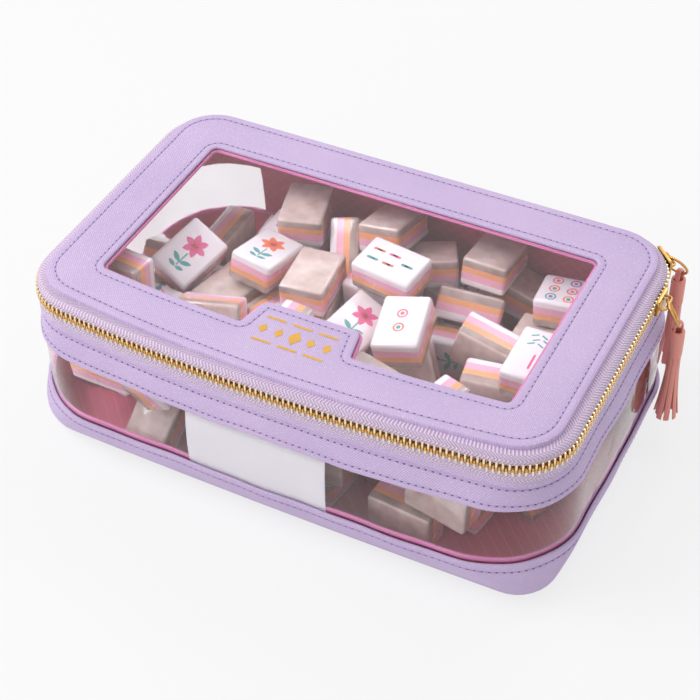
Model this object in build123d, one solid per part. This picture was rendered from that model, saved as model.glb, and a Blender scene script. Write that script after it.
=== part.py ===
"""Zip-round case for a set of domino-shaped game tiles.

A soft box of thin leather bands with a clear window wall between them, a
leather-framed clear lid, a metal zip with two sliders that carry leather
tassels, and the heap of loose tiles that the case holds.
Millimetres, +X along the long side, -Y the front, +Z up, origin in the middle
of the underside.
"""

from build123d import *
import math
import os
from collections import namedtuple

import numpy as np

os.makedirs("parts", exist_ok=True)

# Heights above the table
BASE_THICK = 1.6
EDGE_TOP = 5.0
LOWER_BAND_TOP = 23.0
WINDOW_TOP = 53.0
SHOULDER = 60.0
UPPER_BAND_TOP = 67.0
ZIP_MID = 74.0
LID_TOP = 82.5

# Plan of the case along the zip: straight sides and back, a bowed front
ZIP_HALF_X = 124.0
ZIP_FRONT = 72.5
ZIP_BACK = 74.0
ZIP_BOW = 8.2
ZIP_CORNER = 26.0

# Wall layers, counted inwards from the outer face
LEATHER = 1.6
LAYER_GAP = 0.1
CLEAR_SHEET = 0.5
CARD_THICK = 0.4
LINING = 0.5
SEAM = 6.0
LINING_SHOWS = 2.0
BOARD = 1.5

# Back panel and hinge spine
SPINE_HALF = 89.0
SPINE_THICK = 1.4
HINGE_OUT = 1.8
HINGE_GAP = 0.3

# Zip
CHAIN_HALF = 3.0
TOOTH_THICK = 2.4
TOOTH_REACH = 3.9
TOOTH_ROOT = 1.24
TOOTH_HEAD = 1.0
TOOTH_PITCH = 2.5
TAPE_THICK = 0.8
TAPE_STAND = 4.0
OPEN_SHIFT = 2.6
STOP_LONG = 3.0

# Lid plan and layers, counted down from its top
LID_HALF_X = 119.0
LID_FRONT = 68.0
LID_BACK = 70.5
LID_BOW = 9.0
LID_CORNER = 20.0
LID_LEATHER = 1.2
LID_SHEET = 0.4
LID_BOARD = 0.8
LID_LINING = 0.5
LID_SKIRT = 1.2

# Lid window and the tab that reaches into it from the front
PANE_HALF_X = 95.5
PANE_FRONT = 49.2
PANE_BACK = 46.3
PANE_BOW = 4.7
PANE_CORNER = 3.5
TAB_OFFSET = 1.5
TAB_BASE = 51.0
TAB_TIP = 45.0
TAB_DEPTH = 16.0
TAB_CORNER = 4.0
TRIM_WIDE = 1.2
FOIL_THICK = 0.1

# Card behind the front window
CARD_LEFT = -36.0
CARD_RIGHT = 30.0
CARD_LOW = 19.0
CARD_HIGH = 57.0

# Slider, in its own frame: +X out of the wall, +Y towards its nose
SLIDER_HALF = 6.2
SLIDER_PLATE = 0.9
SLIDER_OUT = 1.4
SLIDER_IN = 2.1
SLIDER_LIP = 0.6
SLIDER_TAIL = 3.3
SLIDER_NOSE = 5.9
SLIDER_STEP = 0.3
SLIDER_SLOPE = 0.9
SLIT_OUT = 0.75
SLIT_IN = 1.4
WEDGE_LONG = 2.0
WEDGE_THICK = 0.6
BAIL_WIRE = 0.6
BAIL_HALF = 4.6
BAIL_STAND = 2.6
BAIL_BEND = 1.4

# Pull ring, which hangs in the bail at a slant and leans off the wall
RING_RADIUS = 6.2
RING_WIRE = 0.6
RING_YAW = 28.5
RING_LEAN = 30.0
LINK_PLAY = 0.15

# Tassel
STRAP_WIDE = 2.6
STRAP_THICK = 1.1
HEAD_RADIUS = 3.3
HEAD_TALL = 14.0
HEAD_DROP = 3.4
STRIP_WIDE = 2.7
STRIP_THICK = 1.1
STRIP_LONG = 38.0
STRIP_COUNT = 7
STRIP_SPREAD = 2.9
CORNER_SLIDER_ANGLE = 45.0

# Tiles
TILE_LONG = 30.0
TILE_WIDE = 21.5
TILE_THICK = 14.5
TILE_BEVEL = 1.0
TILE_GAP = 0.25
SUITS = ("dots", "sticks", "numbers", "winds", "dragons", "flowers")

LINING_INSET = LEATHER + 2 * LAYER_GAP + CLEAR_SHEET + CARD_THICK + LAYER_GAP
INNER_INSET = LINING_INSET + LINING
TAPE_LOW = ZIP_MID - CHAIN_HALF
TAPE_HIGH = ZIP_MID + CHAIN_HALF
LID_UNDER = LID_TOP - LID_LEATHER - LID_SHEET - LID_BOARD - LID_LINING
HINGE_Y = ZIP_BACK + HINGE_OUT
FLOOR_TOP = BASE_THICK + BOARD + LINING

Level = namedtuple("Level", "z grow_x grow_front grow_back side_bow front_bow corner")

# How the soft wall swells and tucks under between the table and the zip
LEVELS = [
    Level(0.0, -5.5, 0.0, -3.0, 2.0, 1.5, 14.0),
    Level(BASE_THICK, -2.0, 3.5, 0.5, 2.0, 1.5, 17.5),
    Level(EDGE_TOP, -0.5, 5.0, 2.0, 2.0, 2.0, 19.0),
    Level((EDGE_TOP + LOWER_BAND_TOP) / 2, 2.0, 9.5, 4.0, 2.0, 2.5, 30.0),
    Level(LOWER_BAND_TOP, 3.5, 11.5, 4.5, 2.0, 3.0, 42.0),
    Level((LOWER_BAND_TOP + WINDOW_TOP) / 2, 3.5, 9.5, 4.0, 1.5, 5.0, 41.0),
    Level(WINDOW_TOP, 2.5, 5.5, 2.5, 1.0, 7.5, 36.0),
    Level(SHOULDER, 0.8, 2.5, 0.5, 0.6, ZIP_BOW, 31.0),
    Level(UPPER_BAND_TOP, 0.0, 0.0, 0.0, 0.0, ZIP_BOW, ZIP_CORNER),
    Level(LID_TOP, 0.0, 0.0, 0.0, 0.0, ZIP_BOW, ZIP_CORNER),
]


def level_at(z):
    """The wall's plan at any height, between the levels above."""
    for low, high in zip(LEVELS, LEVELS[1:]):
        if z <= high.z:
            share = max(0.0, (z - low.z) / (high.z - low.z))
            return Level(*(a + share * (b - a) for a, b in zip(low, high)))
    return LEVELS[-1]


def side_edge(start, end, bow):
    """One side of a plan: a straight line, or an arc that stands out by bow."""
    if bow < 0.05:
        return Line(start, end)
    middle = (Vector(*start) + Vector(*end)) / 2
    along = (Vector(*end) - Vector(*start)).normalized()
    outward = Vector(along.Y, -along.X)
    return ThreePointArc(start, middle + outward * bow, end)


def bowed_plan(half_x, front, back, side_bow, front_bow, corner):
    """A face with four sides, run anticlockwise, and rounded corners."""
    corners = [(-half_x, -front), (half_x, -front), (half_x, back), (-half_x, back)]
    bows = [front_bow, side_bow, 0.0, side_bow]
    edges = [
        side_edge(corners[i], corners[(i + 1) % 4], bows[i])
        for i in range(4)
    ]
    face = make_face(edges)
    return fillet(face.vertices(), corner)


def wall_plan(z, inset=0.0):
    """The wall's plan at height z, drawn in by inset."""
    here = level_at(z)
    face = bowed_plan(
        ZIP_HALF_X + here.grow_x - inset,
        ZIP_FRONT + here.grow_front - inset,
        ZIP_BACK + here.grow_back - inset,
        here.side_bow,
        here.front_bow,
        here.corner - inset,
    )
    return Pos(0, 0, z) * face


def wall_solid(low, high, inset=0.0):
    """The space inside the wall between two heights."""
    heights = [low] + [lv.z for lv in LEVELS if low < lv.z < high] + [high]
    return loft([wall_plan(z, inset) for z in heights], ruled=True)


def wall_ring(low, high, outer, inner):
    """A band of the wall between two heights and two insets."""
    return wall_solid(low, high, outer) - wall_solid(low, high, inner)


def lid_plan(inset=0.0):
    return bowed_plan(
        LID_HALF_X - inset,
        LID_FRONT - inset,
        LID_BACK - inset,
        0.0,
        LID_BOW,
        LID_CORNER - inset,
    )


def pane_plan(grow=0.0):
    """The lid window with its tab; grow above zero makes the opening larger."""
    corners = [
        (-PANE_HALF_X - grow, -PANE_FRONT - grow),
        (PANE_HALF_X + grow, -PANE_FRONT - grow),
        (PANE_HALF_X + grow, PANE_BACK + grow),
        (-PANE_HALF_X - grow, PANE_BACK + grow),
    ]
    bows = [PANE_BOW, 0.0, 0.0, 0.0]
    edges = [side_edge(corners[i], corners[(i + 1) % 4], bows[i]) for i in range(4)]
    window = fillet(make_face(edges).vertices(), PANE_CORNER + grow)
    front = -PANE_FRONT - PANE_BOW
    tab = make_face(
        Polyline(
            (TAB_OFFSET - TAB_BASE / 2 + grow, front - 6.0),
            (TAB_OFFSET + TAB_BASE / 2 - grow, front - 6.0),
            (TAB_OFFSET + TAB_BASE / 2 - grow, front),
            (TAB_OFFSET + TAB_TIP / 2 - grow, front + TAB_DEPTH - grow),
            (TAB_OFFSET - TAB_TIP / 2 + grow, front + TAB_DEPTH - grow),
            (TAB_OFFSET - TAB_BASE / 2 + grow, front),
            close=True,
        )
    )
    tips = tab.vertices().sort_by(Axis.Y)[-2:]
    tab = fillet(tips, TAB_CORNER - grow)
    opening = (window - tab).faces()[0]
    roots = [
        v
        for v in opening.vertices()
        if abs(v.X - TAB_OFFSET) < TAB_BASE / 2 + 1 and v.Y < front + 1.5 + PANE_BOW / 4
    ]
    return fillet(roots, TAB_CORNER / 2)


def plate(face, low, high):
    return extrude(Pos(0, 0, low) * face, high - low)


# Route of the zip, from the right end of the spine round the front to the left
Run = namedtuple("Run", "length centre radius start turn")


def zip_runs():
    """Right half of the route as straight runs and arcs about a centre."""
    bow_radius = (ZIP_HALF_X**2 + ZIP_BOW**2) / (2 * ZIP_BOW)
    bow_y = bow_radius - ZIP_FRONT - ZIP_BOW
    inner_x = ZIP_HALF_X - ZIP_CORNER
    front_y = bow_y - math.sqrt((bow_radius - ZIP_CORNER) ** 2 - inner_x**2)
    sweep = math.atan2(bow_y - front_y, inner_x)
    bow_half = math.pi / 2 - sweep
    return [
        Run(inner_x - SPINE_HALF, (SPINE_HALF, ZIP_BACK), 0.0, math.pi / 2, 0.0),
        Run(ZIP_CORNER * math.pi / 2, (inner_x, ZIP_BACK - ZIP_CORNER), ZIP_CORNER,
            math.pi / 2, -1.0),
        Run(ZIP_BACK - ZIP_CORNER - front_y, (ZIP_HALF_X, ZIP_BACK - ZIP_CORNER), 0.0,
            0.0, 0.0),
        Run(ZIP_CORNER * sweep, (inner_x, front_y), ZIP_CORNER, 0.0, -1.0),
        Run(bow_radius * bow_half, (0.0, bow_y), bow_radius, -sweep, -1.0),
    ]


ZIP_RUNS = zip_runs()
HALF_ROUTE = sum(run.length for run in ZIP_RUNS)


def zip_station(s):
    """Place on the route after a length s: x, y and the outward angle."""
    mirrored = s > HALF_ROUTE
    left = 2 * HALF_ROUTE - s if mirrored else s
    for run in ZIP_RUNS:
        if left <= run.length or run is ZIP_RUNS[-1]:
            break
        left -= run.length
    if run.radius:
        angle = run.start + run.turn * left / run.radius
        x = run.centre[0] + run.radius * math.cos(angle)
        y = run.centre[1] + run.radius * math.sin(angle)
    else:
        angle = run.start
        x = run.centre[0] + left * math.sin(angle)
        y = run.centre[1] - left * math.cos(angle)
    if mirrored:
        return -x, y, math.pi - angle
    return x, y, angle


SIDE_START = ZIP_RUNS[0].length + ZIP_RUNS[1].length
SIDE_SLIDER_AT = SIDE_START + SLIDER_HALF + 0.3
CORNER_SLIDER_AT = ZIP_RUNS[0].length + ZIP_CORNER * math.radians(90 - CORNER_SLIDER_ANGLE)
OPEN_FROM = CORNER_SLIDER_AT + WEDGE_LONG
OPEN_TO = SIDE_SLIDER_AT - WEDGE_LONG


def tooth(root_z, head_z):
    """One tooth, standing on the tape's edge and narrowing to its head."""
    profile = make_face(
        Polyline(
            (-TOOTH_ROOT / 2, root_z),
            (TOOTH_ROOT / 2, root_z),
            (TOOTH_HEAD / 2, head_z),
            (-TOOTH_HEAD / 2, head_z),
            close=True,
        )
    )
    return extrude(Plane.XZ * profile, TOOTH_THICK / 2, both=True).solid()


def teeth_row(side, offset):
    """All teeth of one tape: side is -1 below and +1 above, offset the first place."""
    shape = tooth(side * CHAIN_HALF, side * (CHAIN_HALF - TOOTH_REACH))
    row = []
    s = STOP_LONG + 1.0 + offset
    while s < 2 * HALF_ROUTE - STOP_LONG - 1.0:
        x, y, angle = zip_station(s)
        opened = side < 0 and OPEN_FROM < s < OPEN_TO
        z = ZIP_MID - (OPEN_SHIFT if opened else 0.0)
        row.append(shape.moved(Location((x, y, z), (0, 0, math.degrees(angle) - 90))))
        s += TOOTH_PITCH
    return row


def end_stops(side):
    """The brass clips that close a tape's row of teeth at both ends."""
    clips = []
    for s in (STOP_LONG / 2, 2 * HALF_ROUTE - STOP_LONG / 2):
        x, y, angle = zip_station(s)
        clip = Box(STOP_LONG - 0.4, TOOTH_THICK, CHAIN_HALF - 0.15)
        spot = Location(
            (x, y, ZIP_MID + side * (CHAIN_HALF + 0.15) / 2),
            (0, 0, math.degrees(angle) - 90),
        )
        clips.append(clip.moved(spot))
    return clips


def spine_gap(low, high, extra=0.0):
    """The block over the spine, which the zip and the side wall stop at."""
    half = SPINE_HALF + extra
    return Pos(-half, ZIP_BACK - ZIP_CORNER, low) * Box(
        2 * half, 3 * ZIP_CORNER, high - low, align=Align.MIN
    )


def open_notch():
    """The stretch of lower tape edge that sags where the zip is open."""
    pieces = []
    step = TOOTH_PITCH
    count = max(2, round((OPEN_TO - OPEN_FROM) / step))
    for i in range(count + 1):
        x, y, angle = zip_station(OPEN_FROM + (OPEN_TO - OPEN_FROM) * i / count)
        block = Box(step + 1.4, 3 * TAPE_THICK + 2.0, 2 * OPEN_SHIFT)
        spot = Location(
            (x, y, ZIP_MID - CHAIN_HALF), (0, 0, math.degrees(angle) - 90)
        )
        pieces.append(block.moved(spot))
    return pieces


def lower_tape():
    band = wall_ring(UPPER_BAND_TOP, TAPE_LOW, -TAPE_THICK / 2, TAPE_THICK / 2)
    return band - spine_gap(0, LID_TOP) - open_notch()


def upper_tape():
    straight = wall_ring(TAPE_HIGH, ZIP_MID + TAPE_STAND, -TAPE_THICK / 2, TAPE_THICK / 2)
    low = ZIP_MID + TAPE_STAND
    outer = loft(
        [wall_plan(low, -TAPE_THICK / 2), Pos(0, 0, LID_UNDER) * lid_plan(0.4)],
        ruled=True,
    )
    inner = loft(
        [wall_plan(low, TAPE_THICK / 2), Pos(0, 0, LID_UNDER) * lid_plan(2.4)],
        ruled=True,
    )
    band = straight + (outer - inner)
    return band - spine_gap(0, LID_TOP)


def base_board():
    low = BASE_THICK
    return wall_solid(low, low + BOARD, LEATHER + 1.0)


def base_lining():
    low = BASE_THICK + BOARD
    return wall_solid(low, low + LINING, LEATHER + 1.0)


def side_window():
    inset = LEATHER + LAYER_GAP
    low = LOWER_BAND_TOP - SEAM
    high = WINDOW_TOP + SEAM
    band = wall_ring(low, high, inset, inset + CLEAR_SHEET)
    return band - spine_gap(0, LID_TOP, -SEAM)


def lower_lining():
    return wall_ring(
        FLOOR_TOP, LOWER_BAND_TOP + LINING_SHOWS, LINING_INSET, INNER_INSET
    )


def upper_lining():
    band = wall_ring(
        WINDOW_TOP - LINING_SHOWS, UPPER_BAND_TOP, LINING_INSET, INNER_INSET
    )
    return band - spine_gap(0, LID_TOP)


def back_lining():
    low = LOWER_BAND_TOP + LINING_SHOWS
    band = wall_ring(low, UPPER_BAND_TOP, LINING_INSET, INNER_INSET)
    return band & spine_gap(0, LID_TOP)


def name_card():
    inset = LEATHER + 2 * LAYER_GAP + CLEAR_SHEET
    band = wall_ring(CARD_LOW, CARD_HIGH, inset, inset + CARD_THICK)
    keep = Pos(CARD_LEFT, -2 * ZIP_FRONT, 0) * Box(
        CARD_RIGHT - CARD_LEFT, 1.5 * ZIP_FRONT, LID_TOP, align=Align.MIN
    )
    return band & keep


def spine_strip(points):
    """A strip of leather along the spine, from its section in Y and Z."""
    section = make_face(Polyline(*points, close=True))
    return extrude(Plane.YZ * section, SPINE_HALF - 0.5, both=True)


def lower_spine():
    top = ZIP_MID - HINGE_GAP
    return spine_strip(
        [
            (ZIP_BACK - SPINE_THICK, UPPER_BAND_TOP),
            (ZIP_BACK, UPPER_BAND_TOP),
            (HINGE_Y - HINGE_GAP, top - 2.0),
            (HINGE_Y - HINGE_GAP, top),
            (HINGE_Y - HINGE_GAP - SPINE_THICK, top),
        ]
    )


def upper_spine():
    low = ZIP_MID + HINGE_GAP
    return spine_strip(
        [
            (HINGE_Y - HINGE_GAP - SPINE_THICK, low),
            (HINGE_Y - HINGE_GAP, low),
            (HINGE_Y - HINGE_GAP, LID_TOP - 3.0),
            (LID_BACK + 2.0, LID_TOP),
            (LID_BACK, LID_TOP),
            (LID_BACK, LID_UNDER),
            (HINGE_Y - HINGE_GAP - SPINE_THICK, LID_UNDER),
        ]
    )


def lid_leather():
    low = LID_TOP - LID_LEATHER
    top = plate(lid_plan(), low, LID_TOP) - plate(pane_plan(), low, LID_TOP)
    skirt = plate(lid_plan(), LID_UNDER, low) - plate(lid_plan(LID_SKIRT), LID_UNDER, low)
    return top + skirt


def lid_layer(low, high, opening_grow):
    body = plate(lid_plan(LID_SKIRT), low, high)
    return body - plate(pane_plan(opening_grow), low, high)


def lid_pane():
    high = LID_TOP - LID_LEATHER
    return plate(lid_plan(LID_SKIRT), high - LID_SHEET, high)


def pane_trim():
    high = LID_UNDER + LID_LINING + LID_BOARD
    ring = plate(pane_plan(), LID_UNDER, high)
    return ring - plate(pane_plan(-TRIM_WIDE), LID_UNDER, high)


def foil_mark():
    """A plain gilt ornament: a row of lozenges between two rows of bars."""
    marks = []
    middle_y = -PANE_FRONT - PANE_BOW + 0.5
    for i in range(5):
        half = 4.2 if i == 2 else 2.8
        lozenge = Polyline(
            (-half * 0.7, 0), (0, -half), (half * 0.7, 0), (0, half), close=True
        )
        x = TAB_OFFSET + (i - 2) * 7.4
        marks.append(Pos(x, middle_y) * make_face(lozenge))
    for row in (-1, 1):
        for i in range(3):
            bar = Rectangle(9.0, 1.1)
            marks.append(Pos(TAB_OFFSET + (i - 1) * 12.0, middle_y + row * 7.0) * bar)
    return [extrude(Pos(0, 0, LID_TOP) * m, FOIL_THICK).solid() for m in marks]


def slider_outline(lip):
    """The slider from outside: straight above, and stepped down at its nose."""
    high = SLIDER_TAIL + lip
    low = SLIDER_NOSE + lip
    outline = Polyline(
        (-SLIDER_HALF, high),
        (SLIDER_HALF, high),
        (SLIDER_HALF, -low),
        (SLIDER_STEP + SLIDER_SLOPE, -low),
        (SLIDER_STEP, -high),
        (-SLIDER_HALF, -high),
        close=True,
    )
    return make_face(outline)


def slider_body():
    """Two plates joined by a wedge, with lips that hold the chain in."""
    outside = slider_outline(SLIDER_LIP)
    ends = outside.vertices().filter_by(lambda v: abs(abs(v.X) - SLIDER_HALF) < 0.01)
    outside = fillet(ends, 1.2)
    inside = SLIDER_OUT + SLIDER_IN
    body = extrude(Plane.YZ * outside, inside + 2 * SLIDER_PLATE)
    body = Pos(-SLIDER_IN - SLIDER_PLATE, 0, 0) * body
    channel = extrude(Plane.YZ * slider_outline(0.0), inside)
    body -= Pos(-SLIDER_IN, 0, 0) * channel
    slit = Box(SLIT_OUT + SLIT_IN, 3 * SLIDER_HALF, 4 * SLIDER_NOSE)
    body -= Pos((SLIT_OUT - SLIT_IN) / 2, 0, 0) * slit
    wedge = Box(inside, WEDGE_LONG, WEDGE_THICK)
    wedge_y = SLIDER_HALF - WEDGE_LONG / 2 - 0.6
    body += Pos((SLIDER_OUT - SLIDER_IN) / 2, wedge_y, -OPEN_SHIFT / 2) * wedge
    return body


def bail():
    """The wire arch on the slider's outer plate, which the ring hangs in."""
    foot = SLIDER_OUT + SLIDER_PLATE
    rod = foot + BAIL_STAND
    path = FilletPolyline(
        (foot, -BAIL_HALF), (rod, -BAIL_HALF), (rod, BAIL_HALF), (foot, BAIL_HALF),
        radius=BAIL_BEND,
    )
    section = Plane(origin=(foot, -BAIL_HALF, 0), z_dir=(1, 0, 0)) * Circle(BAIL_WIRE)
    return sweep(section, path)


ROD_X = SLIDER_OUT + SLIDER_PLATE + BAIL_STAND
HANG = RING_RADIUS - RING_WIRE - BAIL_WIRE - LINK_PLAY
LEAN = Location((ROD_X, 0, 0), (0, -RING_LEAN, 0))


def ring_frame():
    """The ring's own frame: its axis is the frame's Z."""
    return LEAN * Location((0, 0, -HANG)) * Location((0, 0, 0), (0, 0, RING_YAW)) * (
        Location((0, 0, 0), (0, 90, 0))
    )


def pull_ring():
    return ring_frame() * Torus(RING_RADIUS, RING_WIRE)


def ring_bottom():
    """Where the tassel's strap hangs: the middle of the ring's lowest wire."""
    low = LEAN * Location((0, 0, -HANG - RING_RADIUS))
    return low.position


def tassel_frame():
    """Straight down from the ring, turned with it."""
    low = ring_bottom()
    return Location((low.X, low.Y, low.Z), (0, 0, RING_YAW))


def tassel_loop():
    """A strap over the ring's wire; the frame's Y runs along the wire."""
    inner = RING_WIRE + LINK_PLAY + 0.35
    outer = inner + STRAP_THICK
    arch = Circle(outer) - Circle(inner)
    arch -= Pos(0, -outer) * Rectangle(3 * outer, 2 * outer)
    leg_mid = (inner + outer) / 2
    legs = Rectangle(STRAP_THICK, HEAD_DROP, align=(Align.CENTER, Align.MAX))
    section = arch + Pos(-leg_mid, 0) * legs + Pos(leg_mid, 0) * legs
    return extrude(Plane.XZ * section, STRAP_WIDE / 2, both=True)


def tassel_head():
    """The rolled wrap of the fringe, with the lapped edge standing proud."""
    roll = Cylinder(HEAD_RADIUS, HEAD_TALL, align=(Align.CENTER, Align.CENTER, Align.MAX))
    lap = Pos(0, 0.35) * Circle(HEAD_RADIUS)
    lap &= Pos(HEAD_RADIUS, HEAD_RADIUS) * Rectangle(2 * HEAD_RADIUS, 2 * HEAD_RADIUS)
    roll += extrude(lap, -HEAD_TALL)
    return Pos(0, 0, -HEAD_DROP) * roll


def tassel_strips():
    strips = []
    for i in range(STRIP_COUNT):
        angle = 360.0 * i / STRIP_COUNT
        reach = HEAD_RADIUS - STRIP_THICK / 2 - 0.1
        flare = STRIP_SPREAD * (0.7 + 0.3 * math.cos(math.radians(angle) * 3))
        top = Plane(origin=(reach, 0, 0)) * Rectangle(STRIP_THICK, STRIP_WIDE * 0.85)
        tip = Plane(origin=(reach + flare, 0, -STRIP_LONG + 1.5 * (i % 3))) * Rectangle(
            STRIP_THICK, STRIP_WIDE
        )
        strip = loft([top, tip], ruled=True)
        strips.append((Rot(0, 0, angle) * Pos(0, 0, -HEAD_DROP - HEAD_TALL) * strip).solid())
    return strips


def slider_place(s):
    """A slider's frame at a place on the route, nose towards the spine."""
    x, y, angle = zip_station(s)
    return Location((x, y, ZIP_MID), (0, 0, math.degrees(angle)))


# The heap of tiles
HALF_TILE = np.array([TILE_LONG, TILE_WIDE, TILE_THICK]) / 2
CORNER_SIGNS = np.array([[a, b, c] for a in (-1, 1) for b in (-1, 1) for c in (-1, 1)])
HEAP_TOP = 72.0
HEAP_SEED = 11
HEAP_TRIES = 30
HEAP_SHAKES = 100
HEAP_TILT = 3.0


def turn_matrix(yaw, pitch, roll):
    """Roll about X, then pitch about Y, then yaw about Z, in degrees."""
    ca, sa = math.cos(math.radians(yaw)), math.sin(math.radians(yaw))
    cb, sb = math.cos(math.radians(pitch)), math.sin(math.radians(pitch))
    cc, sc = math.cos(math.radians(roll)), math.sin(math.radians(roll))
    rz = np.array([[ca, -sa, 0], [sa, ca, 0], [0, 0, 1]])
    ry = np.array([[cb, 0, sb], [0, 1, 0], [-sb, 0, cb]])
    rx = np.array([[1, 0, 0], [0, cc, -sc], [0, sc, cc]])
    return rz @ ry @ rx


def boxes_meet(centre, axes, centres, others):
    """Whether one tile meets any of the others, by separating axes."""
    half = HALF_TILE + TILE_GAP / 2
    between = np.einsum("ij,nj->ni", axes.T, centres - centre)
    turn = np.einsum("ji,njk->nik", axes, others)
    size = np.abs(turn) + 1e-9
    hit = np.all(np.abs(between) <= half + size @ half, axis=1)
    if not hit.any():
        return False
    back = np.einsum("nij,ni->nj", turn, between)
    hit &= np.all(np.abs(back) <= half + np.einsum("nij,i->nj", size, half), axis=1)
    if not hit.any():
        return False
    for i in range(3):
        i1, i2 = (i + 1) % 3, (i + 2) % 3
        for j in range(3):
            j1, j2 = (j + 1) % 3, (j + 2) % 3
            reach = (
                half[i1] * size[:, i2, j]
                + half[i2] * size[:, i1, j]
                + half[j1] * size[:, i, j2]
                + half[j2] * size[:, i, j1]
            )
            gap = np.abs(between[:, i2] * turn[:, i1, j] - between[:, i1] * turn[:, i2, j])
            hit &= gap <= reach
    return bool(hit.any())


LEVEL_TABLE = np.array(LEVELS)


def inside_case(points):
    """Whether all points lie inside the lined wall and over its floor."""
    z = points[:, 2]
    if z.min() < FLOOR_TOP + TILE_GAP / 2 or z.max() > HEAP_TOP:
        return False
    columns = [np.interp(z, LEVEL_TABLE[:, 0], LEVEL_TABLE[:, k]) for k in range(1, 7)]
    grow_x, grow_front, grow_back, side_bow, front_bow, corner = columns
    inset = INNER_INSET + TILE_GAP
    half_x = ZIP_HALF_X + grow_x - inset
    front = ZIP_FRONT + grow_front - inset
    back = ZIP_BACK + grow_back - inset
    corner = corner - inset
    x = np.abs(points[:, 0])
    y = points[:, 1]
    side = half_x + side_bow * (1 - (y / front) ** 2) * 0.9
    low = -front - front_bow * (1 - (x / half_x) ** 2) * 0.97
    if np.any(x > side) or np.any(y < low) or np.any(y > back):
        return False
    over_x = x - (half_x - corner)
    over_back = y - (back - corner)
    over_front = -y - (front + 0.3 * front_bow - corner)
    over_y = np.maximum(over_back, over_front)
    near = (over_x > 0) & (over_y > 0)
    return not np.any(near & (np.hypot(over_x, over_y) > corner))


def heap_roof(x, y):
    """How high the heap may stand: it is low in the left back corner."""
    low_corner = max(0.0, min(1.0, (-x - 40) / 45)) * max(0.0, min(1.0, (y + 5) / 40))
    return HEAP_TOP - 26.0 * low_corner


class Heap:
    """Loose tiles, each let down on those before it and shaken to rest."""

    def __init__(self):
        self.centres = np.zeros((0, 3))
        self.axes = np.zeros((0, 3, 3))
        self.suits = []
        self.draw = np.random.default_rng(HEAP_SEED)

    def free(self, centre, axes):
        corners = centre + (CORNER_SIGNS * HALF_TILE) @ axes.T
        if not inside_case(corners):
            return False
        if not len(self.centres):
            return True
        near = np.sum((self.centres - centre) ** 2, axis=1) < 4 * (HALF_TILE @ HALF_TILE)
        if not near.any():
            return True
        return not boxes_meet(centre, axes, self.centres[near], self.axes[near])

    def let_down(self, x, y, axes):
        """Lower a tile from the roof to the first thing it meets."""
        reach = np.abs(axes[2]) @ HALF_TILE
        z = HEAP_TOP - reach - 0.1
        if not self.free(np.array([x, y, z]), axes):
            return None
        for step in (4.0, 1.0, 0.25):
            while self.free(np.array([x, y, z - step]), axes):
                z -= step
        return np.array([x, y, z])

    def shake(self, centre, axes, count):
        """Small random moves, each kept if the tile ends up lower."""
        for k in range(count):
            size = 1.0 - 0.8 * k / count
            step = self.draw.normal(0, 1.6 * size, 3)
            step[2] = -abs(step[2]) * 0.5
            turn = turn_matrix(*self.draw.normal(0, 5.0 * size, 3))
            new_axes = turn @ axes
            if self.free(centre + step, new_axes):
                centre, axes = centre + step, new_axes
        return centre, axes

    def add(self, centre, axes, suit):
        self.centres = np.vstack([self.centres, centre])
        self.axes = np.concatenate([self.axes, axes[None]])
        self.suits.append(suit)

    def pour(self, count):
        """Drop tiles at random places, keeping the lowest of a few tries."""
        for k in range(count):
            best = None
            for _ in range(HEAP_TRIES):
                x = self.draw.uniform(-ZIP_HALF_X + 10, ZIP_HALF_X - 10)
                y = self.draw.uniform(-ZIP_FRONT - 2, ZIP_BACK - 8)
                lie = self.draw.choice([0, 180, 90, 270], p=[0.3, 0.3, 0.2, 0.2])
                yaw = self.draw.choice([0, 90, 180, 270]) + self.draw.uniform(-10, 10)
                tilt = self.draw.normal(0, HEAP_TILT, 2)
                axes = turn_matrix(yaw, tilt[0], lie + tilt[1])
                centre = self.let_down(x, y, axes)
                if centre is not None and (best is None or centre[2] < best[0][2]):
                    best = (centre, axes)
            if best is None:
                continue
            centre, axes = self.shake(*best, HEAP_SHAKES)
            top = centre[2] + np.abs(axes[2]) @ HALF_TILE
            if top <= heap_roof(centre[0], centre[1]):
                self.add(centre, axes, SUITS[k % len(SUITS)])


def tile_shape():
    block = Box(TILE_LONG, TILE_WIDE, TILE_THICK)
    return chamfer(block.faces().sort_by(Axis.Z)[-1].edges(), TILE_BEVEL).solid()


def tile_groups():
    """The heap as one group of solids for each suit."""
    heap = Heap()
    heap.pour(175)
    print("tiles in the heap", len(heap.suits))
    shape = tile_shape()
    groups = {suit: [] for suit in SUITS}
    for centre, axes, suit in zip(heap.centres, heap.axes, heap.suits):
        plane = Plane(
            origin=tuple(map(float, centre)),
            x_dir=tuple(map(float, axes[:, 0])),
            z_dir=tuple(map(float, axes[:, 2])),
        )
        groups[suit].append(shape.moved(plane.location))
    return groups


def write(name, shape):
    if isinstance(shape, list):
        shape = Compound(shape)
    export_step(shape, f"parts/{name}.step")


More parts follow.
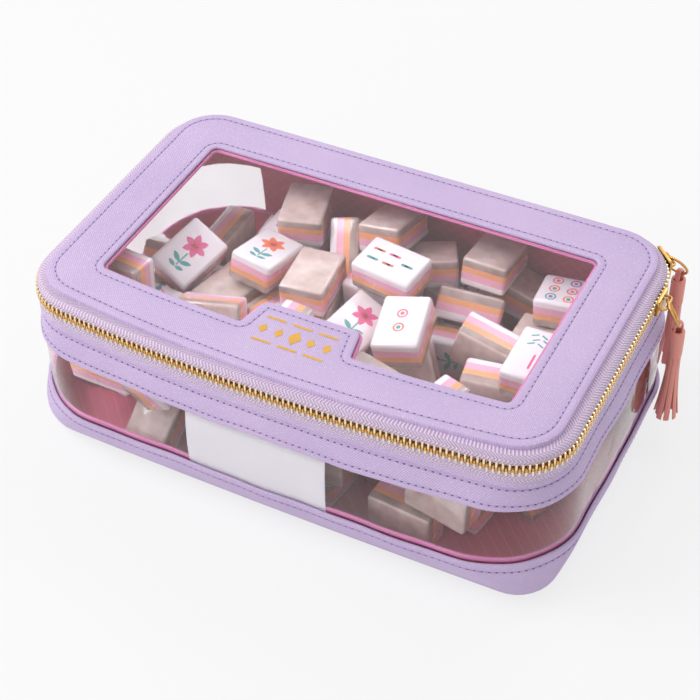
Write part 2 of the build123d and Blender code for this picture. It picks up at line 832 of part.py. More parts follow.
def main():
    gap = spine_gap(0, LID_TOP)
    write("base_panel", wall_solid(0.0, BASE_THICK))
    write("base_board", base_board())
    write("base_lining", base_lining())
    write("lower_band", wall_ring(BASE_THICK, LOWER_BAND_TOP, 0.0, LEATHER))
    write("lower_lining", lower_lining())
    write("side_window", side_window())
    write("upper_band", wall_ring(WINDOW_TOP, UPPER_BAND_TOP, 0.0, LEATHER) - gap)
    write("upper_lining", upper_lining())
    write("back_panel", wall_ring(LOWER_BAND_TOP, UPPER_BAND_TOP, 0.0, LEATHER) & gap)
    write("back_lining", back_lining())
    write("name_card", name_card())
    write("lower_spine", lower_spine())
    write("lower_zip_tape", lower_tape())
    write("lower_zip_teeth", teeth_row(-1, 0.0))
    write("lower_end_stops", end_stops(-1))

    write("lid_leather", lid_leather())
    pane_low = LID_TOP - LID_LEATHER - LID_SHEET
    write("lid_pane", lid_pane())
    write("lid_board", lid_layer(LID_UNDER + LID_LINING, pane_low, 0.0))
    write("lid_lining", lid_layer(LID_UNDER, LID_UNDER + LID_LINING, 0.0))
    write("pane_trim", pane_trim())
    write("foil_mark", foil_mark())
    write("upper_spine", upper_spine())
    write("upper_zip_tape", upper_tape())
    write("upper_zip_teeth", teeth_row(1, TOOTH_PITCH / 2))
    write("upper_end_stops", end_stops(1))

    for name, s, flip in (("side", SIDE_SLIDER_AT, 1), ("corner", CORNER_SLIDER_AT, -1)):
        place = slider_place(s)
        body = slider_body()
        if flip < 0:
            body = mirror(body, about=Plane.XZ)
        write(f"{name}_slider", place * body)
        write(f"{name}_bail", place * bail())
        write(f"{name}_ring", place * pull_ring())
        hang = place * tassel_frame()
        write(f"{name}_tassel_loop", hang * tassel_loop())
        write(f"{name}_tassel_head", hang * tassel_head())
        write(f"{name}_tassel_strips", [(hang * s).solid() for s in tassel_strips()])

    for suit, tiles in tile_groups().items():
        write(f"tiles_{suit}", tiles)


main()
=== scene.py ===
"""Looks of a zip-round leather case full of loose game tiles.

Sizes are written in millimetres and turned into metres when a mesh is made.
+X is the long side's right end, where the tassels hang, and -Y is the front.
"""

import math

import bmesh
import bpy
import numpy as np
from mathutils import Matrix, Vector


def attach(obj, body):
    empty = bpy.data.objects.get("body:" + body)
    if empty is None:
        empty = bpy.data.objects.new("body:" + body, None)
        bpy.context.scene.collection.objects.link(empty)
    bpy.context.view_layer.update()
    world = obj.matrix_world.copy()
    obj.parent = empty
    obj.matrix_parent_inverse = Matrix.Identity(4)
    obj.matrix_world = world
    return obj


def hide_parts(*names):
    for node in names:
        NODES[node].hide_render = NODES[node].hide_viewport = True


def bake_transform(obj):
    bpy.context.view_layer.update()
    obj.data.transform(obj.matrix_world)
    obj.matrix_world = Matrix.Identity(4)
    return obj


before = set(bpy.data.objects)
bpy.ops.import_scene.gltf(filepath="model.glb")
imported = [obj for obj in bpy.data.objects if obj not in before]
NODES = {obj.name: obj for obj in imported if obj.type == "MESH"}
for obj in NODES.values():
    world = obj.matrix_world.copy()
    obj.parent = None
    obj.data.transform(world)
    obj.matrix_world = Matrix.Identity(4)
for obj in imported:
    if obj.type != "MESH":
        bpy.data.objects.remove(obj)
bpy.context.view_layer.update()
MM = 0.001

# Sizes shared with the solids
LOWER_BAND_TOP = 23.0
WINDOW_TOP = 53.0
ZIP_MID = 74.0
TAPE_SHORT_FROM = 48.0
ZIP_HALF_X = 124.0
ZIP_FRONT = 72.5
ZIP_BACK = 74.0
ZIP_BOW = 8.2
ZIP_CORNER = 26.0
LEATHER = 1.6
LINING_INSET = 2.8
LINING_THICK = 0.5
SPINE_HALF = 89.0
LID_HALF_X = 119.0
LID_FRONT = 68.0
LID_BACK = 70.5
LID_BOW = 9.0
LID_CORNER = 20.0
PANE_HALF_X = 95.5
PANE_FRONT = 49.2
PANE_BACK = 46.3
PANE_BOW = 4.7
PANE_CORNER = 3.5
TAB_OFFSET = 1.5
TAB_BASE = 51.0
TAB_TIP = 45.0
TAB_DEPTH = 16.0
TAB_CORNER = 4.0
TOOTH_PITCH = 2.5
STOP_LONG = 3.0
OPEN_SHIFT = 2.6
CORNER_SLIDER_ANGLE = 45.0
RING_YAW = 28.5
STITCH_PITCH = 3.0
SLIDER_FROM_CORNER = 6.5
SLIDER_HALF_OPENING = 2.0
PART_EASE = 0.6
TILE_LAYER_CUTS = (3.5, -0.1, -3.1)
PRINT_HEIGHT = 7.21
TOOTH_HEAD_FROM = -0.7

# Height, then growth in x, front and back, side bow, front bow, corner radius
LEVELS = np.array([
    [0.0, -5.5, 0.0, -3.0, 2.0, 1.5, 14.0],
    [1.6, -2.0, 3.5, 0.5, 2.0, 1.5, 17.5],
    [5.0, -0.5, 5.0, 2.0, 2.0, 2.0, 19.0],
    [14.0, 2.0, 9.5, 4.0, 2.0, 2.5, 30.0],
    [23.0, 3.5, 11.5, 4.5, 2.0, 3.0, 42.0],
    [38.0, 3.5, 9.5, 4.0, 1.5, 5.0, 41.0],
    [53.0, 2.5, 5.5, 2.5, 1.0, 7.5, 36.0],
    [60.0, 0.8, 2.5, 0.5, 0.6, 8.2, 31.0],
    [67.0, 0.0, 0.0, 0.0, 0.0, 8.2, 26.0],
    [82.5, 0.0, 0.0, 0.0, 0.0, 8.2, 26.0],
])


# Colours and node helpers


def tint(code):
    """A colour written as six hex digits, as Blender's linear values."""
    parts = [int(code[i : i + 2], 16) / 255 for i in (0, 2, 4)]
    linear = [c / 12.92 if c <= 0.04045 else ((c + 0.055) / 1.055) ** 2.4 for c in parts]
    return (*linear, 1.0)


def add_node(tree, kind, links=None, **settings):
    """A node with its settings, its plain inputs and its links, by socket name."""
    made = tree.nodes.new(kind)
    for key, value in settings.items():
        setattr(made, key, value)
    for socket, source in (links or {}).items():
        if isinstance(source, bpy.types.NodeSocket):
            tree.links.new(source, made.inputs[socket])
        else:
            made.inputs[socket].default_value = source
    return made


def math_node(tree, operation, a, b=0.0):
    made = add_node(tree, "ShaderNodeMath", {0: a, 1: b}, operation=operation)
    return made.outputs[0]


def blend_colours(tree, factor, a, b, mode="MIX"):
    made = add_node(
        tree, "ShaderNodeMix", {0: factor, 6: a, 7: b}, data_type="RGBA", blend_type=mode
    )
    return made.outputs[2]


def ramp(tree, value, low, high, start, end):
    """The value's span from low to high, turned into start to end."""
    links = {0: value, 1: low, 2: high, 3: start, 4: end}
    return add_node(tree, "ShaderNodeMapRange", links).outputs[0]


def new_group(name, inputs, outputs):
    """An empty shader group with float or vector inputs and outputs."""
    group = bpy.data.node_groups.new(name, "ShaderNodeTree")
    kinds = {"f": "NodeSocketFloat", "v": "NodeSocketVector", "c": "NodeSocketColor"}
    for label, kind, value in inputs:
        socket = group.interface.new_socket(label, in_out="INPUT", socket_type=kinds[kind])
        if value is not None:
            socket.default_value = value
    for label, kind in outputs:
        group.interface.new_socket(label, in_out="OUTPUT", socket_type=kinds[kind])
    start = group.nodes.new("NodeGroupInput")
    end = group.nodes.new("NodeGroupOutput")
    return group, start, end


def make_cross_grain():
    """Pressed cross-grain of the leather: two sets of fine slanted ridges, broken up."""
    tree, start, end = new_group(
        "cross_grain",
        [("Vector", "v", None), ("Pitch", "f", 0.001)],
        [("Height", "f"), ("Fleck", "f"), ("Cloud", "f")],
    )
    split = add_node(tree, "ShaderNodeSeparateXYZ", {0: start.outputs["Vector"]})
    turn = math_node(tree, "DIVIDE", 2 * math.pi, start.outputs["Pitch"])
    jitter = add_node(
        tree, "ShaderNodeTexNoise", {"Vector": start.outputs["Vector"], "Scale": 420.0}
    )
    slip = math_node(tree, "MULTIPLY", jitter.outputs[0], 4.0)
    rows = []
    for sign in ("ADD", "SUBTRACT"):
        across = math_node(tree, sign, split.outputs[0], split.outputs[1])
        phase = math_node(tree, "MULTIPLY", across, turn)
        rows.append(math_node(tree, "SINE", math_node(tree, "ADD", phase, slip)))
    lead = math_node(tree, "MULTIPLY", rows[0], 0.68)
    follow = math_node(tree, "MULTIPLY", rows[1], 0.32)
    ridges = math_node(tree, "ADD", lead, follow)
    tree.links.new(ridges, end.inputs["Height"])
    fleck = add_node(
        tree, "ShaderNodeTexNoise",
        {"Vector": start.outputs["Vector"], "Scale": 900.0, "Detail": 3.0},
    )
    sharp = ramp(tree, fleck.outputs[0], 0.56, 0.7, 0.0, 1.0)
    tree.links.new(sharp, end.inputs["Fleck"])
    cloud = add_node(
        tree, "ShaderNodeTexNoise",
        {"Vector": start.outputs["Vector"], "Scale": 22.0, "Detail": 4.0},
    )
    tree.links.new(cloud.outputs[0], end.inputs["Cloud"])
    return tree


def make_herringbone():
    """Woven herringbone: slanted ribs that turn back at every wale."""
    tree, start, end = new_group(
        "herringbone",
        [("Vector", "v", None), ("Wale", "f", 0.0021), ("Rib", "f", 0.0015)],
        [("Height", "f"), ("Valley", "f")],
    )
    split = add_node(tree, "ShaderNodeSeparateXYZ", {0: start.outputs["Vector"]})
    column = math_node(tree, "DIVIDE", split.outputs[1], start.outputs["Wale"])
    fold = math_node(tree, "PINGPONG", column, 1.0)
    row = math_node(tree, "DIVIDE", split.outputs[0], start.outputs["Rib"])
    climb = math_node(tree, "MULTIPLY", fold, 1.2)
    phase = math_node(tree, "MULTIPLY", math_node(tree, "ADD", row, climb), 2 * math.pi)
    ribs = math_node(tree, "SINE", phase)
    tree.links.new(ribs, end.inputs["Height"])
    # Valley marks where the ribs dip; the tape uses it to paint shade there.
    valley = ramp(tree, ribs, -1.0, 0.2, 1.0, 0.0)
    tree.links.new(valley, end.inputs["Valley"])
    return tree


def make_cloudy():
    """Soft light and dark patches with a fine grain, for handled surfaces."""
    group, start, end = new_group(
        "cloudy",
        [("Vector", "v", None), ("Size", "f", 30.0), ("Grain", "f", 900.0)],
        [("Patch", "f"), ("Fine", "f")],
    )
    for label, scale, detail in (("Patch", "Size", 3.0), ("Fine", "Grain", 2.0)):
        noise = add_node(
            group, "ShaderNodeTexNoise",
            {"Vector": start.outputs["Vector"], "Scale": start.outputs[scale], "Detail": detail},
        )
        group.links.new(noise.outputs[0], end.inputs[label])
    return group


CROSS_GRAIN = make_cross_grain()
HERRINGBONE = make_herringbone()
CLOUDY = make_cloudy()


def start_material(name, **plain):
    """A material with a Principled shader and its plain inputs."""
    material = bpy.data.materials.new(name)
    material.use_nodes = True
    tree = material.node_tree
    tree.nodes.clear()
    out = tree.nodes.new("ShaderNodeOutputMaterial")
    shader = tree.nodes.new("ShaderNodeBsdfPrincipled")
    tree.links.new(shader.outputs[0], out.inputs[0])
    for socket, value in plain.items():
        shader.inputs[socket.replace("_", " ")].default_value = value
    return material, tree, shader


def show_mix(tree, share, a, b):
    """The tree's output shows a mix of two shaders."""
    mix = add_node(tree, "ShaderNodeMixShader", {0: share, 1: a.outputs[0], 2: b.outputs[0]})
    out = next(n for n in tree.nodes if n.type.startswith("OUTPUT"))
    tree.links.new(mix.outputs[0], out.inputs[0])


def place_group(tree, group, **inputs):
    return add_node(tree, "ShaderNodeGroup", inputs, node_tree=group)


def surface_vector(tree, by_uv):
    """Length and width along a sewn piece, or the place in the case."""
    if by_uv:
        return add_node(tree, "ShaderNodeUVMap", uv_map="length_width").outputs[0]
    return add_node(tree, "ShaderNodeTexCoord").outputs["Object"]


def dress(tree, shader, colour, relief, depth, rough=None, strength=1.0):
    """A shader's colour, its relief and, where given, its roughness."""
    tree.links.new(colour, shader.inputs["Base Color"])
    if rough is not None:
        tree.links.new(rough, shader.inputs["Roughness"])
    bump = add_node(
        tree, "ShaderNodeBump", {"Height": relief, "Distance": depth, "Strength": strength}
    )
    tree.links.new(bump.outputs[0], shader.inputs["Normal"])


def leather(name, base, shade, pitch=0.00115, depth=0.00009):
    """Cross-grained leather: painted shade in the grain's valleys, small bright flecks, slow
    patches.
    """
    material, tree, shader = start_material(name, Specular_IOR_Level=0.42)
    where = surface_vector(tree, True)
    grain = place_group(tree, CROSS_GRAIN, Vector=where, Pitch=pitch)
    # Painted shade: the grain's valleys are coloured darker by their height.
    valley = ramp(tree, grain.outputs["Height"], -0.7, 0.6, 0.42, 0.0)
    colour = blend_colours(tree, valley, tint(base), tint(shade))
    patch = ramp(tree, grain.outputs["Cloud"], 0.35, 0.7, 0.0, 0.22)
    colour = blend_colours(tree, patch, colour, tint(shade))
    fleck = math_node(tree, "MULTIPLY", grain.outputs["Fleck"], 0.2)
    colour = blend_colours(tree, fleck, colour, (1.0, 0.96, 1.0, 1.0))
    rough = ramp(tree, grain.outputs["Height"], -1.0, 1.0, 0.6, 0.42)
    dress(tree, shader, colour, grain.outputs["Height"], depth, rough)
    return material


def woven_tape(name, base, shade):
    material, tree, shader = start_material(name, Sheen_Weight=0.25, Roughness=0.75)
    where = surface_vector(tree, True)
    weave = place_group(tree, HERRINGBONE, Vector=where)
    # Painted shade: the weave's valleys are coloured darker.
    amount = math_node(tree, "MULTIPLY", weave.outputs["Valley"], 0.75)
    colour = blend_colours(tree, amount, tint(base), tint(shade))
    fuzz = place_group(tree, CLOUDY, Vector=where, Size=60.0, Grain=2600.0)
    light = math_node(tree, "MULTIPLY", fuzz.outputs["Fine"], 0.15)
    colour = blend_colours(tree, light, colour, tint("F6EBFB"))
    dress(tree, shader, colour, weave.outputs["Height"], 0.00022)
    return material


def plain_finish(
    name, base, shade, rough, grain_scale, depth, share=0.35, by_uv=False, patch=45.0, **plain
):
    """A finish with soft patches, a fine grain and a little relief."""
    material, tree, shader = start_material(name, **plain)
    where = surface_vector(tree, by_uv)
    cloud = place_group(tree, CLOUDY, Vector=where, Size=patch, Grain=grain_scale)
    amount = ramp(tree, cloud.outputs["Patch"], 0.3, 0.75, 0.0, share)
    colour = blend_colours(tree, amount, tint(base), tint(shade))
    speck = math_node(tree, "MULTIPLY", cloud.outputs["Fine"], share * 0.5)
    colour = blend_colours(tree, speck, colour, tint(shade))
    spread = ramp(tree, cloud.outputs["Fine"], 0.3, 0.7, rough - 0.06, rough + 0.08)
    dress(tree, shader, colour, cloud.outputs["Fine"], depth, spread)
    return material


def lining_cloth(name, base, shade, mark):
    """Satin lining with a small tonal lattice woven in."""
    material, tree, shader = start_material(name, Sheen_Weight=0.4, Roughness=0.5)
    where = surface_vector(tree, True)
    split = add_node(tree, "ShaderNodeSeparateXYZ", {0: where})
    lines = []
    for sign in ("ADD", "SUBTRACT"):
        across = math_node(tree, sign, split.outputs[0], split.outputs[1])
        step = math_node(tree, "PINGPONG", across, 0.0035)
        lines.append(math_node(tree, "LESS_THAN", step, 0.00045))
    lattice = math_node(tree, "MAXIMUM", lines[0], lines[1])
    cloud = place_group(tree, CLOUDY, Vector=where, Size=35.0, Grain=1800.0)
    colour = blend_colours(tree, cloud.outputs["Patch"], tint(base), tint(shade))
    faint = math_node(tree, "MULTIPLY", lattice, 0.2)
    colour = blend_colours(tree, faint, colour, tint(mark))
    dress(tree, shader, colour, cloud.outputs["Fine"], 0.00008)
    return material


def polished_metal(name, base, shade, rough):
    material, tree, shader = start_material(name, Metallic=1.0)
    cloud = place_group(
        tree, CLOUDY, Vector=surface_vector(tree, False), Size=240.0, Grain=2600.0
    )
    colour = blend_colours(tree, cloud.outputs["Patch"], tint(base), tint(shade))
    spread = ramp(tree, cloud.outputs["Fine"], 0.3, 0.7, rough - 0.05, rough + 0.1)
    dress(tree, shader, colour, cloud.outputs["Fine"], 0.00002, spread)
    return material


def clear_vinyl(name, base):
    """Soft clear sheet: it shows what is behind, gleams, and lets light through."""
    material, tree, shader = start_material(
        name, Transmission_Weight=1.0, IOR=1.4, Metallic=0.0
    )
    cloud = place_group(
        tree, CLOUDY, Vector=surface_vector(tree, False), Size=26.0, Grain=300.0
    )
    colour = blend_colours(tree, cloud.outputs["Patch"], tint(base), tint("FFFFFF"))
    rough = ramp(tree, cloud.outputs["Fine"], 0.3, 0.8, 0.02, 0.07)
    dress(tree, shader, colour, cloud.outputs["Patch"], 0.0012, rough, 0.5)
    clear = add_node(tree, "ShaderNodeBsdfTransparent", {0: (0.93, 0.91, 0.94, 1.0)})
    light = tree.nodes.new("ShaderNodeLightPath")
    show_mix(tree, light.outputs["Is Shadow Ray"], shader, clear)
    return material


LILAC = leather("lilac_cross_grain_leather", "D7C1E5", "A48CBF")
TAPE = woven_tape("lilac_herringbone_tape", "ECD4EF", "AE93BE")
VINYL = clear_vinyl("clear_vinyl_sheet", "F6F1F5")
ROSE_LINING = lining_cloth("rose_satin_lining", "E26A88", "C4526D", "EE9CB1")
PINK_EDGE = plain_finish("painted_pink_edge", "E68ABF", "C96BA4", 0.4, 1200.0, 0.00003)
THREAD = plain_finish("lilac_thread", "CBB5DE", "9A83B6", 0.6, 3000.0, 0.0001)
# Painted shade: dark marks that stand in for the shadow in the needle holes.
NEEDLE_HOLE = plain_finish("needle_hole_shadow", "77618F", "604B78", 0.8, 2000.0, 0.00002)
BRASS = polished_metal("polished_gilt_brass", "DDB06C", "BE8B48", 0.24)
# The tooth legs' near-white colour is a painted highlight; the heads keep the deeper brass colour.
HIGHLIGHT_PALE_BRASS = polished_metal("painted_highlight_tooth_legs", "FBF1D6", "EBDBB4", 0.3)
DEEP_BRASS = polished_metal("gilt_tooth_heads", "EDBE68", "D19A48", 0.26)
FOIL = polished_metal("stamped_gold_foil", "EDC06A", "E0A94A", 0.36)
CARD = plain_finish("white_matt_card", "F1F0F4", "E3E1E8", 0.6, 1500.0, 0.00002, 0.3)
BOARD = plain_finish("grey_stiffener_board", "9A938C", "7F7871", 0.85, 700.0, 0.00006)
SALMON = plain_finish(
    "salmon_tassel_leather", "F0A092", "DC8275", 0.5, 1400.0, 0.00008, 0.5, Sheen_Weight=0.15
)
TILE_FINISHES = [
    plain_finish(name, base, shade, rough, 300.0, 0.00001, 0.5, Coat_Weight=0.6)
    for name, base, shade, rough in (
        ("pearl_white_tile_layer", "F4F1F4", "E6DFE8", 0.2),
        ("pink_tile_layer", "F6BCD2", "EDA3C0", 0.22),
        ("orange_tile_layer", "F8B684", "EE9C62", 0.22),
    )
] + [
    # The clear layer's sides use a darker copy of its back's finish: painted shade.
    plain_finish(name, base, shade, rough, 160.0, 0.00001, 0.95, patch=130.0, Coat_Weight=1.0)
    for name, base, shade, rough in (
        ("smoky_clear_tile_back", "F1E3DC", "BFA79E", 0.1),
        ("smoky_clear_tile_side_painted_shade", "CDBBB3", "9B8780", 0.12),
    )
]
INKS = [
    plain_finish(f"{name}_ink", base, shade, 0.35, 900.0, 0.00001)
    for name, base, shade in (
        ("rose", "E66C9C", "D4588A"), ("coral", "EE7D5B", "E06A48"),
        ("teal", "4FA9A5", "3C9490"), ("violet", "8D70C4", "795DB2"),
    )
]


# Outline of the case at any height


def level_values(z):
    """The level table at height z, read along a smooth curve."""
    heights = LEVELS[:, 0]
    k = int(np.clip(np.searchsorted(heights, z) - 1, 0, len(heights) - 2))
    values = LEVELS[:, 1:]
    gaps = np.diff(heights)
    steps = np.diff(values, axis=0) / gaps[:, None]

    def slope(i):
        if i == 0:
            return steps[0]
        if i == len(heights) - 1:
            return steps[-1]
        a, b = steps[i - 1], steps[i]
        both = a * b
        return np.where(both > 0, 2 * both / np.where(a + b == 0, 1, a + b), 0.0)

    t = float(np.clip((z - heights[k]) / gaps[k], 0, 1))
    h = gaps[k]
    return (
        (2 * t**3 - 3 * t**2 + 1) * values[k]
        + (t**3 - 2 * t**2 + t) * h * slope(k)
        + (3 * t**2 - 2 * t**3) * values[k + 1]
        + (t**3 - t**2) * h * slope(k + 1)
    )


def arc(centre, radius, start, end, count):
    angles = np.linspace(start, end, count)
    return np.stack(
        [centre[0] + radius * np.cos(angles), centre[1] + radius * np.sin(angles)], axis=1
    )


def half_plan(half_x, front, back, side_bow, front_bow, corner):
    """Right half of a bowed plan, from the middle of the back to that of the front."""
    side_bow = max(side_bow, 0.01)
    half = (front + back) / 2
    side_r = (half * half + side_bow**2) / (2 * side_bow)
    side_c = np.array([half_x + side_bow - side_r, (back - front) / 2])
    front_r = (half_x**2 + front_bow**2) / (2 * front_bow)
    front_c = np.array([0.0, front_r - front - front_bow])
    back_y = back - corner
    back_x = side_c[0] + math.sqrt((side_r - corner) ** 2 - (back_y - side_c[1]) ** 2)
    between = front_c - side_c
    apart = np.hypot(*between)
    r1, r2 = side_r - corner, front_r - corner
    along = (r1 * r1 - r2 * r2 + apart * apart) / (2 * apart)
    off = math.sqrt(max(r1 * r1 - along * along, 0.0))
    unit = between / apart
    low_c = side_c + unit * along + np.array([unit[1], -unit[0]]) * off
    if low_c[1] > side_c[1] or low_c[0] < 0:
        low_c = side_c + unit * along - np.array([unit[1], -unit[0]]) * off
    a1 = math.atan2(back_y - side_c[1], back_x - side_c[0])
    a2 = math.atan2(low_c[1] - side_c[1], low_c[0] - side_c[0])
    a3 = math.atan2(low_c[1] - front_c[1], low_c[0] - front_c[0])
    parts = [
        np.stack([np.linspace(0, back_x, 60), np.full(60, back)], axis=1),
        arc((back_x, back_y), corner, math.pi / 2, a1, 60)[1:],
        arc(side_c, side_r, a1, a2, 60)[1:],
        arc(low_c, corner, a2, a3, 60)[1:],
        arc(front_c, front_r, a3, -math.pi / 2, 90)[1:],
    ]
    return np.concatenate(parts)


def lengths_along(line):
    """Length from a line's first point to each of its points."""
    return np.concatenate([[0], np.cumsum(np.linalg.norm(np.diff(line, axis=0), axis=1))])


def read_at(line, lengths, where):
    """The line's values at one length or at several."""
    return np.stack([np.interp(where, lengths, column) for column in line.T], -1)


def at_height(flat, z):
    """A flat line of places, lifted to height z."""
    return np.column_stack([flat, np.full(len(flat), z)])


def resample(points, count):
    """The same line with evenly spaced points."""
    lengths = lengths_along(points)
    return read_at(points, lengths, np.linspace(0, lengths[-1], count))


def cut_back(half, start_x):
    """The half outline from where it passes start_x on the back."""
    if start_x <= 0:
        return half
    k = int(np.argmax(half[:, 0] > start_x))
    share = (start_x - half[k - 1, 0]) / (half[k, 0] - half[k - 1, 0])
    first = half[k - 1] + share * (half[k] - half[k - 1])
    return np.concatenate([first[None], half[k:]])


def whole_line(half, start_x, count):
    """From the right end of the back round the front to the left end."""
    right = resample(cut_back(half, start_x), count)
    left = right[::-1][1:] * [-1, 1]
    return np.concatenate([right, left])


def soften(points):
    """Slow swells that the soft wall has between its stiff base and the zip."""
    x, y, z = points[..., 0], points[..., 1], points[..., 2]
    swell = (
        0.30 * np.sin(0.083 * x + 0.9 * np.sin(0.05 * y) + 0.06 * z)
        + 0.22 * np.sin(0.121 * y - 0.047 * x + 1.7)
        + 0.16 * np.sin(0.21 * x + 0.17 * y + 0.13 * z + 0.4)
        + 0.18
    )
    low = np.clip((z - 2.0) / 10.0, 0, 1)
    high = np.clip((66.0 - z) / 8.0, 0, 1)
    swell = swell * low * high
    length = np.maximum(np.hypot(x / 1.6, y), 1e-6)
    moved = points.copy()
    moved[..., 0] += swell * (x / 1.6) / length
    moved[..., 1] += swell * y / length
    return moved


def wall_half(z, inset):
    """Right half of the wall's plan at height z."""
    gx, gf, gb, side_bow, front_bow, corner = level_values(z)
    return half_plan(
        ZIP_HALF_X + gx - inset, ZIP_FRONT + gf - inset, ZIP_BACK + gb - inset,
        side_bow, front_bow, corner - inset,
    )


def wall_line(z, inset, start_x=0.0, count=110):
    """The wall at height z as a line of places, from right to left round the front."""
    return soften(at_height(whole_line(wall_half(z, inset), start_x, count), z))


def lid_line(inset, z, count=110):
    half = half_plan(
        LID_HALF_X - inset, LID_FRONT - inset, LID_BACK - inset, 0.0, LID_BOW, LID_CORNER - inset
    )
    return at_height(whole_line(half, 0.0, count)[:-1], z)


def rounded_outline(corners, radii, steps):
    """A closed line through corners, each rounded with its own radius and steps."""
    line = []
    count = len(corners)
    for i in range(count):
        here = np.array(corners[i], float)
        before = np.array(corners[i - 1], float) - here
        after = np.array(corners[(i + 1) % count], float) - here
        before /= np.linalg.norm(before)
        after /= np.linalg.norm(after)
        radius, n = radii[i], steps[i]
        if n == 1 or radius <= 0:
            line += [here] * n
            continue
        half = math.acos(np.clip(before @ after, -1, 1)) / 2
        reach = radius / math.tan(half)
        bisector = (before + after) / np.linalg.norm(before + after)
        centre = here + bisector * radius / math.sin(half)
        a = here + before * reach - centre
        b = here + after * reach - centre
        start = math.atan2(a[1], a[0])
        sweep = (math.atan2(b[1], b[0]) - start + math.pi) % (2 * math.pi) - math.pi
        for t in np.linspace(0, 1, n):
            angle = start + sweep * t
            line.append(centre + radius * np.array([math.cos(angle), math.sin(angle)]))
    return np.array(line)


def pane_line(grow, z):
    """The lid window with its tab, made larger by grow."""
    half_x = PANE_HALF_X + grow
    front = PANE_FRONT + grow
    bow_r = (half_x**2 + PANE_BOW**2) / (2 * PANE_BOW)

    def front_y(x):
        return -front - PANE_BOW + bow_r - math.sqrt(bow_r**2 - x * x)

    tab_left = TAB_OFFSET - TAB_BASE / 2 + grow
    tab_right = TAB_OFFSET + TAB_BASE / 2 - grow
    tip_left = TAB_OFFSET - TAB_TIP / 2 + grow
    tip_right = TAB_OFFSET + TAB_TIP / 2 - grow
    tip_y = -PANE_FRONT - PANE_BOW + TAB_DEPTH - grow
    left_run = np.linspace(-half_x, tab_left, 9)[1:-1]
    right_run = np.linspace(tab_right, half_x, 9)[1:-1]
    corners = [(-half_x, -front)] + [(x, front_y(x)) for x in left_run]
    corners += [(tab_left, front_y(tab_left)), (tip_left, tip_y), (tip_right, tip_y)]
    corners += [(tab_right, front_y(tab_right))] + [(x, front_y(x)) for x in right_run]
    corners += [(half_x, -front), (half_x, PANE_BACK + grow), (-half_x, PANE_BACK + grow)]
    outer = PANE_CORNER + grow
    root = TAB_CORNER / 2 + grow
    tip = max(TAB_CORNER - grow, 0.4)
    radii = [outer] + [0] * 7 + [root, tip, tip, root] + [0] * 7 + [outer] * 3
    steps = [9] + [1] * 7 + [8] * 4 + [1] * 7 + [9] * 3
    return at_height(rounded_outline(corners, radii, steps), z)


# Making meshes


def put_in(name, data):
    """A new object in the scene."""
    made = bpy.data.objects.new(name, data)
    bpy.context.scene.collection.objects.link(made)
    return made


def finish_mesh(name, mesh, materials, smooth=35.0):
    """An object from a mesh, shaded smooth except at sharp folds."""
    bm = bmesh.new()
    bm.from_mesh(mesh)
    bmesh.ops.recalc_face_normals(bm, faces=bm.faces)
    limit = math.radians(smooth)
    for face in bm.faces:
        face.smooth = True
    for edge in bm.edges:
        if len(edge.link_faces) == 2 and edge.calc_face_angle(0.0) > limit:
            edge.smooth = False
    bm.to_mesh(mesh)
    bm.free()
    made = put_in(name, mesh)
    for material in materials:
        mesh.materials.append(material)
    return made


def run_lengths(grid, axis, closed):
    """Length along a grid's rows or columns, in metres, at its middle."""
    line = grid[grid.shape[0] // 2] if axis else grid[:, grid.shape[1] // 2]
    if closed:
        line = np.concatenate([line, line[:1]])
    return lengths_along(line) * MM


def skin(name, grid, material, wrap_rows=False, wrap_columns=False, smooth=35.0):
    """A sewn or moulded skin from a grid of places: rows across it, columns along it."""
    grid = np.asarray(grid, float)
    rows, columns = grid.shape[:2]
    u = run_lengths(grid, 1, wrap_columns)
    v = run_lengths(grid, 0, wrap_rows)
    faces, corners = [], []
    for i in range(rows if wrap_rows else rows - 1):
        for j in range(columns if wrap_columns else columns - 1):
            i2, j2 = (i + 1) % rows, (j + 1) % columns
            faces.append([i * columns + j, i * columns + j2, i2 * columns + j2, i2 * columns + j])
            corners += [(u[j], v[i]), (u[j + 1], v[i]), (u[j + 1], v[i + 1]), (u[j], v[i + 1])]
    if wrap_rows and not wrap_columns:
        for j in (0, columns - 1):
            faces.append([i * columns + j for i in range(rows)])
            corners += [(u[min(j, len(u) - 1)], v[i]) for i in range(rows)]
    mesh = bpy.data.meshes.new(name)
    mesh.from_pydata((grid.reshape(-1, 3) * MM).tolist(), [], faces)
    layer = mesh.uv_layers.new(name="length_width")
    layer.data.foreach_set("uv", np.array(corners, np.float32).ravel())
    return finish_mesh(name, mesh, [material], smooth)


def merge_shapes(name, shapes, materials, smooth=35.0):
    """One object from many small shapes: each is its places, faces and finish number."""
    places, faces, finishes = [], [], []
    offset = 0
    for points, polygons, finish in shapes:
        places.append(points)
        faces += [[k + offset for k in polygon] for polygon in polygons]
        if np.ndim(finish):
            finishes += list(finish)
        else:
            finishes += [finish] * len(polygons)
        offset += len(points)
    mesh = bpy.data.meshes.new(name)
    mesh.from_pydata((np.concatenate(places) * MM).tolist(), [], faces)
    mesh.polygons.foreach_set("material_index", np.array(finishes, np.int32))
    layer = mesh.uv_layers.new(name="length_width")
    loops = np.zeros(len(mesh.loops), np.int32)
    mesh.loops.foreach_get("vertex_index", loops)
    co = np.zeros(len(mesh.vertices) * 3, np.float32)
    mesh.vertices.foreach_get("co", co)
    co = co.reshape(-1, 3)[loops]
    layer.data.foreach_set("uv", np.stack([co[:, 0] + co[:, 1], co[:, 2]], 1).ravel())
    return finish_mesh(name, mesh, materials, smooth)


def sew(piece, body, slot, *nodes):
    """A finished piece rides on its body and stands for the solids it covers."""
    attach(piece, body)
    if nodes:
        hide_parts(*nodes)
    return piece


# Stitches


def ring_faces(count, sides):
    """Faces between neighbouring rings of a run of them."""
    polygons = []
    for i in range(count - 1):
        low, high = i * sides, (i + 1) * sides
        for k in range(sides):
            k2 = (k + 1) % sides
            polygons.append([low + k, low + k2, high + k2, high + k])
    return polygons


